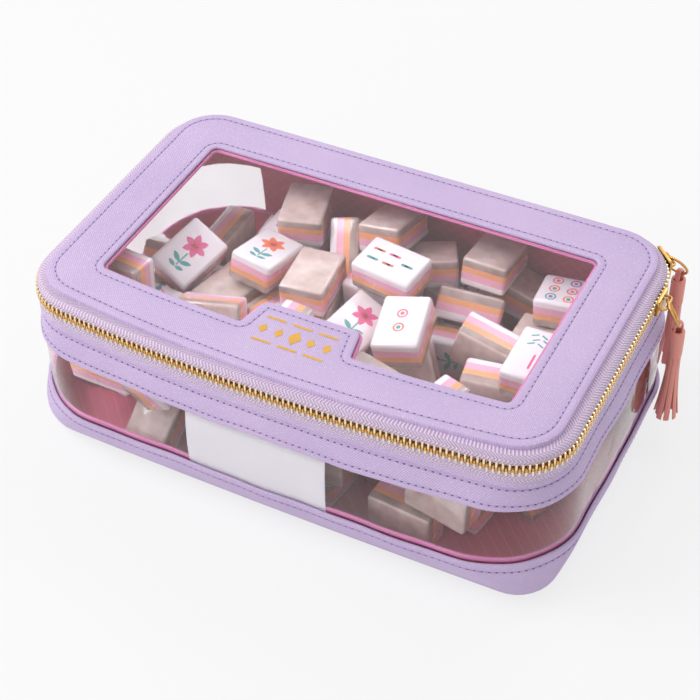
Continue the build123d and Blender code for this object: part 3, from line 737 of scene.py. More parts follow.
def pill(length, width, height, sides=8):
    """A small thread or hole lying along X, rounded at its ends."""
    points = []
    stations = [(-0.5, 0.25), (-0.42, 0.75), (-0.2, 1.0), (0.2, 1.0), (0.42, 0.75), (0.5, 0.25)]
    for along, size in stations:
        for k in range(sides):
            angle = 2 * math.pi * k / sides
            points.append(
                (along * length, math.cos(angle) * width / 2 * size,
                 math.sin(angle) * height / 2 * size)
            )
    polygons = ring_faces(len(stations), sides)
    polygons.append(list(range(sides)))
    polygons.append([(len(stations) - 1) * sides + k for k in range(sides)][::-1])
    return np.array(points), polygons


THREAD_SHAPE = pill(2.0, 0.62, 0.42)
HOLE_SHAPE = pill(1.15, 0.66, 0.22)
THREAD_LIFT = 0.12
HOLE_LIFT = 0.03


def stitch_row(name, line, normals, body, closed=False):
    """A row of stitches: raised thread and, between, dark marks of painted shade where it sinks
    into its holes.
    """
    if closed:
        line = np.concatenate([line, line[:1]])
        normals = np.concatenate([normals, normals[:1]])
    lengths = lengths_along(line)
    count = int(lengths[-1] // STITCH_PITCH)
    shapes = []
    for k in range(2 * count):
        where = (k + 0.5) * lengths[-1] / (2 * count)
        place, up = read_at(line, lengths, where), read_at(normals, lengths, where)
        along = read_at(line, lengths, where + 0.4) - read_at(line, lengths, where - 0.4)
        along /= np.linalg.norm(along)
        up -= along * (up @ along)
        up /= np.linalg.norm(up)
        turn = np.stack([along, np.cross(up, along), up])
        (points, polygons), lift, finish = (
            (THREAD_SHAPE, THREAD_LIFT, 0) if k % 2 else (HOLE_SHAPE, HOLE_LIFT, 1)
        )
        shapes.append((points @ turn + place + up * lift, polygons, finish))
    row = merge_shapes(name, shapes, [THREAD, NEEDLE_HOLE])
    return sew(row, body, "lilac_leather")


def wall_normals(z, inset, start_x, count):
    """Outward directions of the wall along a line at height z."""
    here = wall_line(z, inset, start_x, count)
    above = wall_line(z + 1.0, inset, start_x, count)
    below = wall_line(z - 1.0, inset, start_x, count)
    along = np.gradient(here, axis=0)
    outward = np.cross(above - below, along)
    outward /= np.linalg.norm(outward, axis=1)[:, None]
    facing = np.sum(outward[:, :2] * here[:, :2], axis=1)
    return here, outward * np.where(facing < 0, -1, 1)[:, None]


def wall_stitches(name, z, inset, start_x=0.0, count=200):
    line, normals = wall_normals(z, inset, start_x, count)
    return stitch_row(name, line, normals, "case")


# Wall of the case


def wall_skin(name, profile, start_x, material, count=110):
    """A band of the wall from its cross-section, as pairs of height and inset."""
    grid = np.array([wall_line(z, inset, start_x, count) for z, inset in profile])
    if start_x <= 0:
        return skin(name, grid[:, :-1], material, True, True)
    return skin(name, grid, material, True, False)


def sheet_profile(heights, inset, thick):
    """Up the outer face of a thin sheet and down its inner one."""
    return [(z, inset) for z in heights] + [(z, inset + thick) for z in heights[::-1]]


def stitch_groove(z, reach=0.9):
    """The dent that a row of stitches pulls into the leather."""
    return [(z - reach, 0.0), (z - 0.3, 0.2), (z + 0.3, 0.2), (z + reach, 0.0)]


def lower_band():
    stitch = LOWER_BAND_TOP - 4.0
    outer = [(z, 0.0) for z in (0.0, 0.3, 0.8, 1.6, 2.6, 3.8, 5.0, 7.0, 9.5, 12.0, 14.5, 16.5)]
    outer += stitch_groove(stitch)
    outer += [(21.2, -0.05), (22.3, 0.05), (22.85, 0.3), (23.0, 0.8), (22.85, 1.3), (22.5, 1.55)]
    inner = [(z, LEATHER) for z in (20.0, 15.0, 10.0, 5.0, 2.5)] + [(0.3, 2.2), (0.0, 1.6)]
    band = wall_skin("lower_band_turned_leather", outer + inner, 0.0, LILAC)
    sew(band, "case", "lilac_leather", "lower_band")
    wall_stitches("lower_band_stitches", stitch, 0.2)


def base_disc(name, low, high, inset, material, slot, node):
    """A flat sheet inside the wall's foot."""
    rims = [wall_line(z, inset, 0.0, 110)[:-1] for z in (low, high)]
    count = len(rims[0])
    points = np.concatenate(rims)
    polygons = ring_faces(2, count) + [list(range(count)), list(range(count, 2 * count))]
    disc = merge_shapes(name, [(points, polygons, 0)], [material])
    return sew(disc, "case", slot, node)


def linings():
    low = sheet_profile([3.8, 8.0, 14.0, 20.0, 24.4], LINING_INSET, LINING_THICK)
    cloth = wall_skin("lower_lining_cloth", low, 0.0, ROSE_LINING)
    sew(cloth, "case", "rose_lining", "lower_lining")
    rim = [(23.2, 2.35), (24.6, 2.35), (25.1, 2.6), (25.2, 2.9), (25.1, 3.3), (24.6, 3.42),
           (23.2, 3.42), (22.8, 2.9)]
    bound = wall_skin("lower_lining_bound_rim", rim, 0.0, PINK_EDGE)
    sew(bound, "case", "edge_pink")
    high = sheet_profile([52.2, 56.0, 60.0, 64.0, 66.8], LINING_INSET, LINING_THICK)
    cloth = wall_skin("upper_lining_cloth", high, SPINE_HALF - 6, ROSE_LINING)
    sew(cloth, "case", "rose_lining", "upper_lining")


def back_strip(name, profile, half, material, columns=60):
    """A band of the back wall between -half and half."""
    rows = []
    for z, inset in profile:
        plan = wall_half(z, inset)
        x = np.linspace(-half, half, columns)
        first = plan[: np.argmax(plan[:, 1] < plan[0, 1] - 25)]
        y = np.interp(np.abs(x), first[:, 0], first[:, 1])
        rows.append(soften(np.column_stack([x, y, np.full(columns, z)])))
    return skin(name, rows, material, True, False)


def back_panel():
    outer = [(z, -0.5) for z in (20.5, 24.0, 30.0, 38.0, 46.0, 53.0, 58.0, 62.0, 66.0)]
    inner = [(z, 1.6) for z in (66.0, 58.0, 48.0, 38.0, 28.0, 23.4)] + [(22.6, 0.4), (20.5, 0.2)]
    panel = back_strip("back_panel_leather", outer + inner, SPINE_HALF, LILAC)
    sew(panel, "case", "lilac_leather", "back_panel")
    cloth = sheet_profile([25.4, 35.0, 45.0, 55.0, 66.5], LINING_INSET, LINING_THICK)
    lining = back_strip("back_lining_cloth", cloth, SPINE_HALF - 1, ROSE_LINING)
    sew(lining, "case", "rose_lining", "back_lining")


def side_window():
    heights = [17.2, 20.0, 23.0, 26.0, 30.0, 34.0, 38.0, 42.0, 46.0, 50.0, 53.0, 56.0, 58.8]
    profile = sheet_profile(heights, 1.72, 0.44)
    sheet = wall_skin("side_window_vinyl", profile, SPINE_HALF - 5, VINYL)
    sew(sheet, "case", "clear_vinyl", "side_window")


def upper_band():
    high, low = 62.6, WINDOW_TOP + 2.6
    outer = [(53.5, 1.55), (53.1, 1.2), (53.0, 0.7), (53.2, 0.2), (53.7, 0.0)]
    outer += stitch_groove(low) + [(58.0, 0.0), (60.0, 0.0)] + stitch_groove(high, 0.8)
    outer += [(63.9, 0.15), (64.1, -0.35), (64.7, -0.65), (65.6, -0.7), (66.5, -0.6)]
    outer += [(67.0, -0.2), (67.1, 0.4), (67.0, 1.2)]
    inner = [(66.5, 1.6), (63.0, 1.6), (59.0, 1.6), (56.0, 1.6)]
    band = wall_skin("upper_band_turned_leather", outer + inner, SPINE_HALF - 1, LILAC, 130)
    sew(band, "case", "lilac_leather", "upper_band")
    wall_stitches("upper_band_low_stitches", low, 0.2, SPINE_HALF)
    wall_stitches("upper_band_high_stitches", high, 0.2, SPINE_HALF)


def name_card():
    """Bare white card that follows the front wall inside the clear sheet."""
    rows = []
    for z, inset in sheet_profile(np.linspace(19, 57, 12), 2.28, 0.4):
        line = wall_line(z, inset, 0.0, 300)
        front = line[line[:, 1] < 0]
        front = front[np.argsort(front[:, 0])]
        x = np.linspace(-36, 30, 34)
        y = np.interp(x, front[:, 0], front[:, 1])
        rows.append(np.column_stack([x, y, np.full(len(x), z)]))
    card = skin("bare_white_card", rows, CARD, True, False)
    sew(card, "case", "white_card", "name_card")


# Zip


def lower_tape():
    """Tape that stands up from the wall, thin where the teeth are clamped to it."""
    profile = [(64.5, -0.3), (67.0, -0.4), (69.0, -0.4), (70.8, -0.4), (71.4, -0.3),
               (72.0, -0.3), (72.25, 0.0), (72.0, 0.3), (71.4, 0.3), (70.8, 0.4),
               (69.0, 0.4), (67.0, 0.4), (64.5, 0.5)]
    line = zip_path_points()
    grid = []
    for z, inset in profile:
        row = []
        for x, y, angle, opened in line:
            drop = OPEN_SHIFT * opened * np.clip((z - 67.0) / 4.0, 0, 1)
            row.append((x - inset * math.cos(angle), y - inset * math.sin(angle), z - drop))
        grid.append(row)
    tape = skin("lower_zip_tape_woven", grid, TAPE, True, False)
    sew(tape, "case", "zip_tape_lilac", "lower_zip_tape")


def upper_tape():
    """Tape that stands on the chain and leans in to the lid's edge."""
    half = half_plan(ZIP_HALF_X, ZIP_FRONT, ZIP_BACK, 0.0, ZIP_BOW, ZIP_CORNER)
    lid = half_plan(LID_HALF_X, LID_FRONT, LID_BACK, 0.0, LID_BOW, LID_CORNER)
    outer = whole_line(half, SPINE_HALF, 130)
    inner = whole_line(lid, SPINE_HALF, 130)
    grid = []
    rise = [(0.0, 75.8), (0.0, 76.7), (0.0, 77.6), (0.1, 78.4), (0.35, 79.1), (0.7, 79.55),
            (1.05, 79.75)]
    for rows, shrink, least, lift in (
        (rise, (1.0, 1.0), 77.0, 0.4), (rise[::-1], (0.997, 0.995), 77.35, -0.35)
    ):
        for share, z in rows:
            flat = outer + (inner - outer) * share
            low = np.where(flat[:, 1] > TAPE_SHORT_FROM, max(z, least), z)
            grid.append(np.column_stack([flat * shrink, low + lift]))
    tape = skin("upper_zip_tape_woven", grid, TAPE, True, False)
    sew(tape, "lid", "zip_tape_lilac", "upper_zip_tape")


ZIP_HALF_LINE = cut_back(
    half_plan(ZIP_HALF_X, ZIP_FRONT, ZIP_BACK, 0.0, ZIP_BOW, ZIP_CORNER), SPINE_HALF
)
ZIP_LINE = np.concatenate([ZIP_HALF_LINE, (ZIP_HALF_LINE * [-1, 1])[::-1][1:]])
ZIP_RUN = lengths_along(ZIP_LINE)
ZIP_STRAIGHT = ZIP_HALF_X - ZIP_CORNER - SPINE_HALF
CORNER_SLIDER_AT = ZIP_STRAIGHT + ZIP_CORNER * math.radians(90 - CORNER_SLIDER_ANGLE)
SIDE_SLIDER_AT = ZIP_STRAIGHT + ZIP_CORNER * math.pi / 2 + SLIDER_FROM_CORNER
OPEN_FROM = CORNER_SLIDER_AT + SLIDER_HALF_OPENING
OPEN_TO = SIDE_SLIDER_AT - SLIDER_HALF_OPENING


def zip_place(s):
    """Place and outward angle on the zip after a length s."""
    x, y = read_at(ZIP_LINE, ZIP_RUN, s)
    dx, dy = read_at(ZIP_LINE, ZIP_RUN, s + 0.5) - read_at(ZIP_LINE, ZIP_RUN, s - 0.5)
    return float(x), float(y), math.atan2(dy, dx) + math.pi / 2


def zip_path_points(count=230):
    """Places along the whole zip and how far it is open at each."""
    marks = sorted(
        list(np.linspace(0, ZIP_RUN[-1], count))
        + [end + side * PART_EASE for end in (OPEN_FROM, OPEN_TO) for side in (-1, 1)]
    )
    places = []
    for s in marks:
        x, y, angle = zip_place(s)
        parted = np.clip((s - OPEN_FROM + PART_EASE) / (2 * PART_EASE), 0, 1)
        joined = np.clip((OPEN_TO + PART_EASE - s) / (2 * PART_EASE), 0, 1)
        places.append((x, y, angle, parted * joined))
    return places


def slice_at(bm, z):
    """A cut right across a mesh at height z."""
    bmesh.ops.bisect_plane(
        bm, geom=bm.verts[:] + bm.edges[:] + bm.faces[:], plane_co=(0, 0, z), plane_no=(0, 0, 1)
    )


def take_out(bm, finishes):
    """A finished mesh as places, faces and the finish of each face."""
    points = np.array([v.co[:] for v in bm.verts])
    polygons = [[v.index for v in f.verts] for f in bm.faces]
    bm.free()
    return points, polygons, finishes


def tooth_shape():
    """A drawn brass tooth: slim legs with a fatter gilt head; the legs' near-white finish is a
    painted highlight.
    """
    bm = bmesh.new()
    bmesh.ops.create_cube(bm, size=1.0)
    for v in bm.verts:
        head = v.co.z > 0
        v.co.x *= 1.0 if head else 0.92
        v.co.y *= 2.2 if head else 1.9
        v.co.z = 0.9 if head else -3.0
    slice_at(bm, TOOTH_HEAD_FROM)
    rims = [e for e in bm.edges if len(e.link_faces) == 2 and e.calc_face_angle(0.0) > 0.5]
    bmesh.ops.bevel(bm, geom=rims, offset=0.24, segments=2, profile=0.6, affect="EDGES")
    return take_out(bm, [int(f.calc_center_median().z > TOOTH_HEAD_FROM) for f in bm.faces])


def teeth(name, side, offset, body, node):
    points, polygons, finishes = tooth_shape()
    points = points * [1, 1, -side]
    shapes = []
    s = STOP_LONG + 1.0 + offset
    while s < ZIP_RUN[-1] - STOP_LONG - 1.0:
        x, y, angle = zip_place(s)
        z = ZIP_MID - (OPEN_SHIFT if side < 0 and OPEN_FROM < s < OPEN_TO else 0.0)
        turn = angle - math.pi / 2
        c, sn = math.cos(turn), math.sin(turn)
        spin = np.array([[c, sn, 0], [-sn, c, 0], [0, 0, 1]])
        shapes.append((points @ spin + (x, y, z), polygons, finishes))
        s += TOOTH_PITCH
    row = merge_shapes(name, shapes, [HIGHLIGHT_PALE_BRASS, DEEP_BRASS], 50.0)
    sew(row, body, "zip_brass", node)


# Lid


def fill_between(bm, loops, finish=0):
    """Flat faces between a loop and a hole in it."""
    edges = []
    for loop in loops:
        for a, b in zip(loop, loop[1:] + loop[:1]):
            edges.append(bm.edges.get((a, b)) or bm.edges.new((a, b)))
    done = bmesh.ops.triangle_fill(bm, edges=edges, use_beauty=True)
    for made in done["geom"]:
        if isinstance(made, bmesh.types.BMFace):
            made.material_index = finish


def framed_sheet(name, outer_rows, inner_rows, material, bottom):
    """A sheet with the lid's outline and its window, from rows of both edges."""
    bm = bmesh.new()
    sides = []
    for rows in (outer_rows, inner_rows):
        loops = [[bm.verts.new(p * MM) for p in row] for row in rows]
        for a, b in zip(loops, loops[1:]):
            n = len(a)
            for k in range(n):
                bm.faces.new([a[k], a[(k + 1) % n], b[(k + 1) % n], b[k]])
        sides.append(loops)
    fill_between(bm, [sides[0][-1], sides[1][-1]])
    if bottom:
        fill_between(bm, [sides[0][0], sides[1][0]])
    layer = bm.loops.layers.uv.new("length_width")
    for face in bm.faces:
        for loop in face.loops:
            loop[layer].uv = (loop.vert.co.x, loop.vert.co.y)
    mesh = bpy.data.meshes.new(name)
    bm.to_mesh(mesh)
    bm.free()
    return finish_mesh(name, mesh, [material], 40.0)


def lid_frame():
    outer = [(1.3, 81.25), (1.2, 79.7), (0.4, 79.6), (0.05, 79.9), (0.0, 80.8), (0.0, 81.7),
             (0.2, 82.15), (0.8, 82.42), (1.8, 82.48), (2.9, 82.38), (3.4, 82.2), (4.0, 82.2),
             (4.5, 82.36), (6.8, 82.44)]
    inner = [(1.0, 81.25), (0.1, 81.3), (0.0, 81.75), (0.15, 82.15), (0.6, 82.42), (1.6, 82.48),
             (2.7, 82.38), (3.2, 82.2), (3.8, 82.2), (4.3, 82.36), (6.0, 82.44)]
    cover = framed_sheet(
        "lid_turned_leather",
        [lid_line(inset, z) for inset, z in outer],
        [pane_line(grow, z) for grow, z in inner],
        LILAC, True,
    )
    sew(cover, "lid", "lilac_leather", "lid_leather")
    up = np.array([0.0, 0.0, 1.0])
    edge = lid_line(3.7, 82.2, 200)
    stitch_row("lid_edge_stitches", edge, np.tile(up, (len(edge), 1)), "lid", True)
    hole = pane_line(3.5, 82.2)
    stitch_row("lid_window_stitches", hole, np.tile(up, (len(hole), 1)), "lid", True)


def lid_inside():
    lining = framed_sheet(
        "lid_lining_cloth",
        [lid_line(1.3, 80.1), lid_line(1.3, 79.62)],
        [pane_line(0.0, 80.1), pane_line(0.0, 79.62)],
        ROSE_LINING, True,
    )
    sew(lining, "lid", "rose_lining", "lid_lining")
    rows = [(-0.1, 80.88), (-0.9, 80.88), (-1.15, 80.5), (-1.15, 79.9), (-0.9, 79.6), (-0.1, 79.6)]
    trim = skin(
        "lid_window_pink_edge", [pane_line(g, z) for g, z in rows], PINK_EDGE, True, True
    )
    sew(trim, "lid", "edge_pink", "pane_trim")


def lid_pane():
    """The clear sheet of the lid, which lies in slow shallow waves."""
    x = np.linspace(-104, 104, 70)
    y = np.linspace(-61, 53, 42)
    rows = []
    for side in (0.0, -0.36):
        part = []
        for yy in y:
            wave = 0.10 * np.sin(0.09 * x + 0.06 * yy) + 0.07 * np.sin(0.15 * yy - 0.05 * x + 1)
            part.append(np.column_stack([x, np.full(len(x), yy), 81.1 + wave + side]))
        rows += part if side == 0 else part[::-1]
    pane = skin("lid_window_vinyl", rows, VINYL, True, False)
    sew(pane, "lid", "clear_vinyl", "lid_pane")


def spine():
    """One piece of leather from the back wall, round the bend, to the lid's edge."""
    outer = [(75.3, 61.0), (75.0, 64.0), (75.4, 68.0), (75.8, 71.5), (75.9, 74.0),
             (75.6, 76.5), (74.6, 78.6), (72.9, 80.0), (70.6, 80.5)]
    inner = [(70.6, 79.7), (72.3, 79.1), (73.6, 77.9), (74.4, 76.0), (74.7, 74.0),
             (74.6, 71.5), (74.2, 68.0), (73.9, 64.0), (74.2, 61.0)]
    x = np.linspace(-SPINE_HALF + 0.4, SPINE_HALF - 0.4, 50)
    rows = [np.column_stack([x, np.full(50, y), np.full(50, z)]) for y, z in outer + inner]
    strip = skin("spine_leather", rows, LILAC, True, False)
    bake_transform(strip)
    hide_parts("lower_spine", "upper_spine")
    x = np.linspace(-SPINE_HALF + 2, SPINE_HALF - 2, 120)
    line = np.column_stack([x, np.full(120, 75.15), np.full(120, 63.0)])
    stitch_row("spine_wall_stitches", line, np.tile([0.0, 1, 0], (120, 1)), "case")


# Sliders, rings and tassels


def bevelled_copy(node, name, width, material, body, slot):
    """A softened copy of a solid, with its edges rolled as a casting's are."""
    mesh = NODES[node].data.copy()
    bm = bmesh.new()
    bm.from_mesh(mesh)
    bmesh.ops.remove_doubles(bm, verts=bm.verts, dist=1e-6)
    bmesh.ops.dissolve_limit(
        bm, angle_limit=math.radians(2), verts=bm.verts, edges=bm.edges
    )
    sharp = [
        e for e in bm.edges
        if len(e.link_faces) == 2 and e.calc_face_angle(0.0) > math.radians(35)
    ]
    bmesh.ops.bevel(bm, geom=sharp, offset=width * MM, segments=2, profile=0.6, affect="EDGES")
    bm.to_mesh(mesh)
    bm.free()
    mesh.materials.clear()
    made = finish_mesh(name, mesh, [material], 30.0)
    return sew(made, body, slot, node)


def tube(points, widths, thicks, sides=8, turn=0.0):
    """A soft strap: its middle line with a width and thickness at each point."""
    points = np.asarray(points, float)
    along = np.gradient(points, axis=0)
    along /= np.linalg.norm(along, axis=1)[:, None]
    rings = []
    for p, a, w, t in zip(points, along, widths, thicks):
        side = np.array([-math.sin(turn), math.cos(turn), 0.0])
        side -= a * (side @ a)
        side /= np.linalg.norm(side)
        over = np.cross(a, side)
        ring = []
        for k in range(sides):
            angle = 2 * math.pi * (k + 0.5) / sides
            c, s = math.cos(angle), math.sin(angle)
            fat = max(abs(c), abs(s)) ** -0.75
            ring.append(p + side * c * w / 2 * fat + over * s * t / 2 * fat)
        rings.append(ring)
    count = len(points)
    polygons = ring_faces(count, sides)
    polygons.append(list(range(sides))[::-1])
    polygons.append([(count - 1) * sides + k for k in range(sides)])
    return np.array(rings).reshape(-1, 3), polygons, 0


def tassel(unit, low_point, slider_angle):
    """The tassel that hangs from a ring: strap, rolled head and fringe."""
    spin = np.array(
        Matrix.Rotation(math.radians(slider_angle), 3, "Z")
        @ Matrix.Rotation(math.radians(RING_YAW), 3, "Z")
    ).T
    base = np.array(low_point)
    body = f"{unit}_tassel"

    def place(shape):
        points, polygons, finish = shape
        return points @ spin + base, polygons, finish

    arch = [(-1.65, 0, -6.0), (-1.68, 0, -3.0), (-1.65, 0, -0.6)]
    arch += [
        (-1.65 * math.cos(a), 0, 1.65 * math.sin(a)) for a in np.linspace(0.1, math.pi - 0.1, 9)
    ]
    arch += [(1.65, 0, -0.6), (1.68, 0, -3.0), (1.65, 0, -6.0)]
    n = len(arch)
    strap = tube(arch, [2.5] * n, [0.95] * n)
    made = merge_shapes(f"{unit}_tassel_strap", [place(strap)], [SALMON])
    sew(made, body, "salmon_leather", f"{unit}_tassel_loop")

    turns = np.linspace(0, 2 * math.pi * 1.12, 46)
    once = np.column_stack([np.cos(turns + 2.2), np.sin(turns + 2.2)])
    spiral = once * (2.95 + 0.42 * turns / turns[-1])[:, None]
    outside = ((-3.4, 0.86), (-3.6, 0.97), (-4.4, 1.0), (-10.4, 1.015), (-16.4, 1.0),
               (-17.2, 0.98), (-17.4, 0.9))
    rings = [at_height(spiral * size, z) for z, size in outside]
    rings += [at_height(once * 1.9, z) for z in (-17.4, -10.4, -3.4)]
    rows = [r @ spin + base for r in rings]
    roll = skin(f"{unit}_tassel_wrap", rows, SALMON, True, False, 50.0)
    sew(roll, body, "salmon_leather", f"{unit}_tassel_head")

    draw = np.random.default_rng(5 if unit == "side" else 9)
    fringe = []
    for ring_radius, count, shift in ((2.45, 8, 0.0), (1.0, 4, 0.4)):
        for i in range(count):
            angle = 2 * math.pi * i / count + shift
            flare = draw.uniform(1.2, 2.9) if ring_radius > 2 else draw.uniform(0.2, 1.0)
            sway = draw.uniform(-0.9, 0.9)
            long = 38.0 - draw.uniform(0, 2.6)
            line = []
            for t in np.linspace(0, 1, 9):
                radius = ring_radius + flare * t**1.4 - 0.35 * math.sin(math.pi * t)
                off = sway * t * t
                line.append((
                    radius * math.cos(angle) - off * math.sin(angle),
                    radius * math.sin(angle) + off * math.cos(angle),
                    -16.6 - long * t,
                ))
            widths = np.linspace(1.9, 2.55, 9) if ring_radius > 2 else np.linspace(1.4, 2.4, 9)
            fringe.append(place(tube(line, widths, [0.95] * 9, 8, angle)))
    made = merge_shapes(f"{unit}_tassel_fringe", fringe, [SALMON])
    sew(made, body, "salmon_leather", f"{unit}_tassel_strips")


# Loose tiles


def tile_places(node):
    """Centre and axes of each tile of a group, read from its solids."""
    mesh = NODES[node].data
    co = np.zeros(len(mesh.vertices) * 3)
    mesh.vertices.foreach_get("co", co)
    co = co.reshape(-1, 3) / MM
    keys, inverse = np.unique(np.round(co, 3), axis=0, return_inverse=True)
    inverse = inverse.ravel()
    group = np.arange(len(keys))

    def root(k):
        while group[k] != k:
            group[k] = group[group[k]]
            k = group[k]
        return k

    for polygon in mesh.polygons:
        ids = [root(inverse[v]) for v in polygon.vertices]
        for other in ids[1:]:
            group[root(other)] = root(ids[0])
    roots = np.array([root(k) for k in range(len(keys))])
    places = []
    for r in np.unique(roots):
        points = keys[roots == r]
        if len(points) < 8:
            continue
        middle = points.mean(0)
        values, vectors = np.linalg.eigh(np.cov((points - middle).T))
        axes = vectors[:, np.argsort(values)[::-1]]
        spread = (points - middle) @ axes
        centre = middle + axes @ ((spread.max(0) + spread.min(0)) / 2)
        if (middle - centre) @ axes[:, 2] < 0:
            axes[:, 2] *= -1
        axes[:, 1] = np.cross(axes[:, 2], axes[:, 0])
        places.append((centre, axes))
    places.sort(key=lambda p: tuple(np.round(p[0], 2)))
    return places


TURNED_TILES = {
    "sticks": (10,), "dots": (8,), "numbers": (12,), "flowers": (3,), "dragons": (3,),
}


def layered_tile():
    """One tile: four bonded layers with softly rounded corners."""
    bm = bmesh.new()
    bmesh.ops.create_cube(bm, size=1.0)
    for v in bm.verts:
        v.co = Vector((v.co.x * 29.9, v.co.y * 21.4, v.co.z * 14.4))
    bmesh.ops.bevel(bm, geom=bm.edges[:], offset=1.7, segments=3, profile=0.5, affect="EDGES")
    for cut in TILE_LAYER_CUTS:
        slice_at(bm, cut)
    bm.normal_update()
    finishes = []
    for face in bm.faces:
        z = face.calc_center_median().z
        layer = sum(z <= cut for cut in TILE_LAYER_CUTS)
        # Sides of the clear layer take the darker copy of its finish: painted shade.
        if layer == 3 and face.normal.z > -0.5:
            layer = 4
        finishes.append(layer)
    return take_out(bm, finishes)


def flat_mark(outline, ink, inner=None):
    """A printed mark on a tile's face: a filled shape, or a ring if inner is given."""
    if inner is None:
        return at_height(outline, PRINT_HEIGHT), [list(range(len(outline)))], ink
    both = at_height(np.concatenate([outline, inner]), PRINT_HEIGHT)
    return both, ring_faces(2, len(outline)), ink


def circle(x, y, radius, sides=20):
    angles = np.linspace(0, 2 * math.pi, sides, endpoint=False)
    return np.column_stack([x + radius * np.cos(angles), y + radius * np.sin(angles)])


def turned(shape, angle, x, y):
    """A flat shape turned by an angle and moved to its place."""
    c, s = math.cos(angle), math.sin(angle)
    return shape @ np.array([[c, s], [-s, c]]) + (x, y)


def bar(x, y, long, wide, angle=0.0):
    """A rounded stroke, long along the tile's length at angle zero."""
    ends = []
    for side in (1, -1):
        for a in np.linspace(-math.pi / 2, math.pi / 2, 6):
            ends.append((
                side * ((long - wide) / 2 + wide / 2 * math.cos(a)), side * wide / 2 * math.sin(a)
            ))
    return turned(np.array(ends), angle, x, y)


def petal(x, y, reach, wide, angle):
    t = np.linspace(0, 1, 8)
    half = wide / 2 * np.sin(math.pi * t) ** 0.8
    upper = np.column_stack([reach * t, half])
    lower = np.column_stack([reach * t, -half])[::-1][1:-1]
    return turned(np.concatenate([upper, lower]), angle, x, y)


def count_grid(count):
    """Even places for a count of marks, in up to three columns."""
    columns = 1 if count < 3 else 2 if count < 7 else 3
    rows = -(-count // columns)
    places = []
    for k in range(count):
        row, column = divmod(k, columns)
        in_row = min(columns, count - row * columns)
        places.append((
            (rows - 1) / 2 * 8.0 - row * 8.0 if rows < 4 else (rows - 1) / 2 * 6.0 - row * 6.0,
            (column - (in_row - 1) / 2) * 6.2,
        ))
    return places


def dots_face(k):
    marks = []
    for n, (x, y) in enumerate(count_grid(k % 8 + 2)):
        marks.append(flat_mark(circle(x, y, 2.5), n % 4, circle(x, y, 1.75)))
        marks.append(flat_mark(circle(x, y, 1.0), (n + 1) % 4))
    return marks


def sticks_face(k):
    marks = []
    for n, (x, y) in enumerate(count_grid(k % 7 + 2)):
        ink = (k + n) % 3
        marks.append(flat_mark(bar(x + 1.6, y, 2.8, 1.5), ink))
        marks.append(flat_mark(bar(x - 1.6, y, 2.8, 1.5), ink))
        marks.append(flat_mark(bar(x, y, 1.0, 2.3, math.pi / 2), ink))
    return marks


STROKES = {
    1: [(0, 0, 8, 0)], 2: [(4, 0, 4, 1), (2, 2, 4, 0), (0, 0, 4, 1), (-2, -2, 4, 0), (-4, 0, 4, 1)],
    3: [(4, 0, 4, 1), (0, 0, 4, 1), (-4, 0, 4, 1), (2, 2, 4, 0), (-2, 2, 4, 0)],
    4: [(2, -2, 4, 0), (0, 0, 4, 1), (0, 2, 8, 0)],
    5: [(4, 0, 4, 1), (2, -2, 4, 0), (0, 0, 4, 1), (-2, 2, 4, 0), (-4, 0, 4, 1)],
    7: [(4, 0, 4, 1), (0, 2, 8, 0)],
}


def numbers_face(k):
    """A plain numeral over three waves."""
    marks = []
    numeral = sorted(STROKES)[k % len(STROKES)]
    for x, y, long, flat in STROKES[numeral]:
        angle = math.pi / 2 if flat else 0.0
        marks.append(flat_mark(bar(x + 5.0, -y, long + 0.9, 1.1, angle), k % 4))
    for row in range(3):
        for j in range(3):
            marks.append(flat_mark(
                bar(-5.0 - row * 2.6, (j - 1) * 4.2 + (row % 2) * 1.4, 3.4, 0.8,
                    math.pi / 2 + 0.5 * (-1) ** j),
                (k + 2) % 4,
            ))
    return marks


def winds_face(k):
    """A four-pointed star in a ring."""
    marks = [flat_mark(circle(0, 0, 7.2, 32), k % 4, circle(0, 0, 6.5, 32))]
    for j in range(4):
        marks.append(flat_mark(petal(0, 0, 10.5, 3.2, j * math.pi / 2), (k + 1 + j % 2) % 4))
    marks.append(flat_mark(circle(0, 0, 1.3), (k + 3) % 4))
    return marks


def dragons_face(k):
    """A plain double frame with a knot of four bars."""
    outer = np.array([(-12, -7.5), (12, -7.5), (12, 7.5), (-12, 7.5)])
    marks = [flat_mark(outer, k % 4, outer * [0.94, 0.9])]
    marks.append(flat_mark(outer * [0.86, 0.78], (k + 1) % 4, outer * [0.82, 0.71]))
    for j in range(4):
        angle = math.pi / 4 + j * math.pi / 2
        marks.append(flat_mark(
            bar(2.6 * math.cos(angle), 2.6 * math.sin(angle), 5.2, 1.2, angle + 0.5), (k + 2) % 4
        ))
    return marks


def flowers_face(k):
    """A rosette with leaves below it."""
    marks = []
    for j in range(6):
        marks.append(flat_mark(petal(3.5, 0, 6.2, 3.4, j * math.pi / 3 + 0.2 * k), k % 2))
    marks.append(flat_mark(circle(3.5, 0, 1.6), 1 - k % 2))
    marks.append(flat_mark(bar(-5.5, 0, 8.0, 0.7), 2))
    for side in (-1, 1):
        marks.append(flat_mark(petal(-7.5, 0, 6.0, 2.4, side * 1.1), 2))
        marks.append(flat_mark(petal(-10.5, 0, 4.6, 2.0, side * 1.3), 2))
    return marks


FACES = {
    "dots": dots_face, "sticks": sticks_face, "numbers": numbers_face,
    "winds": winds_face, "dragons": dragons_face, "flowers": flowers_face,
}


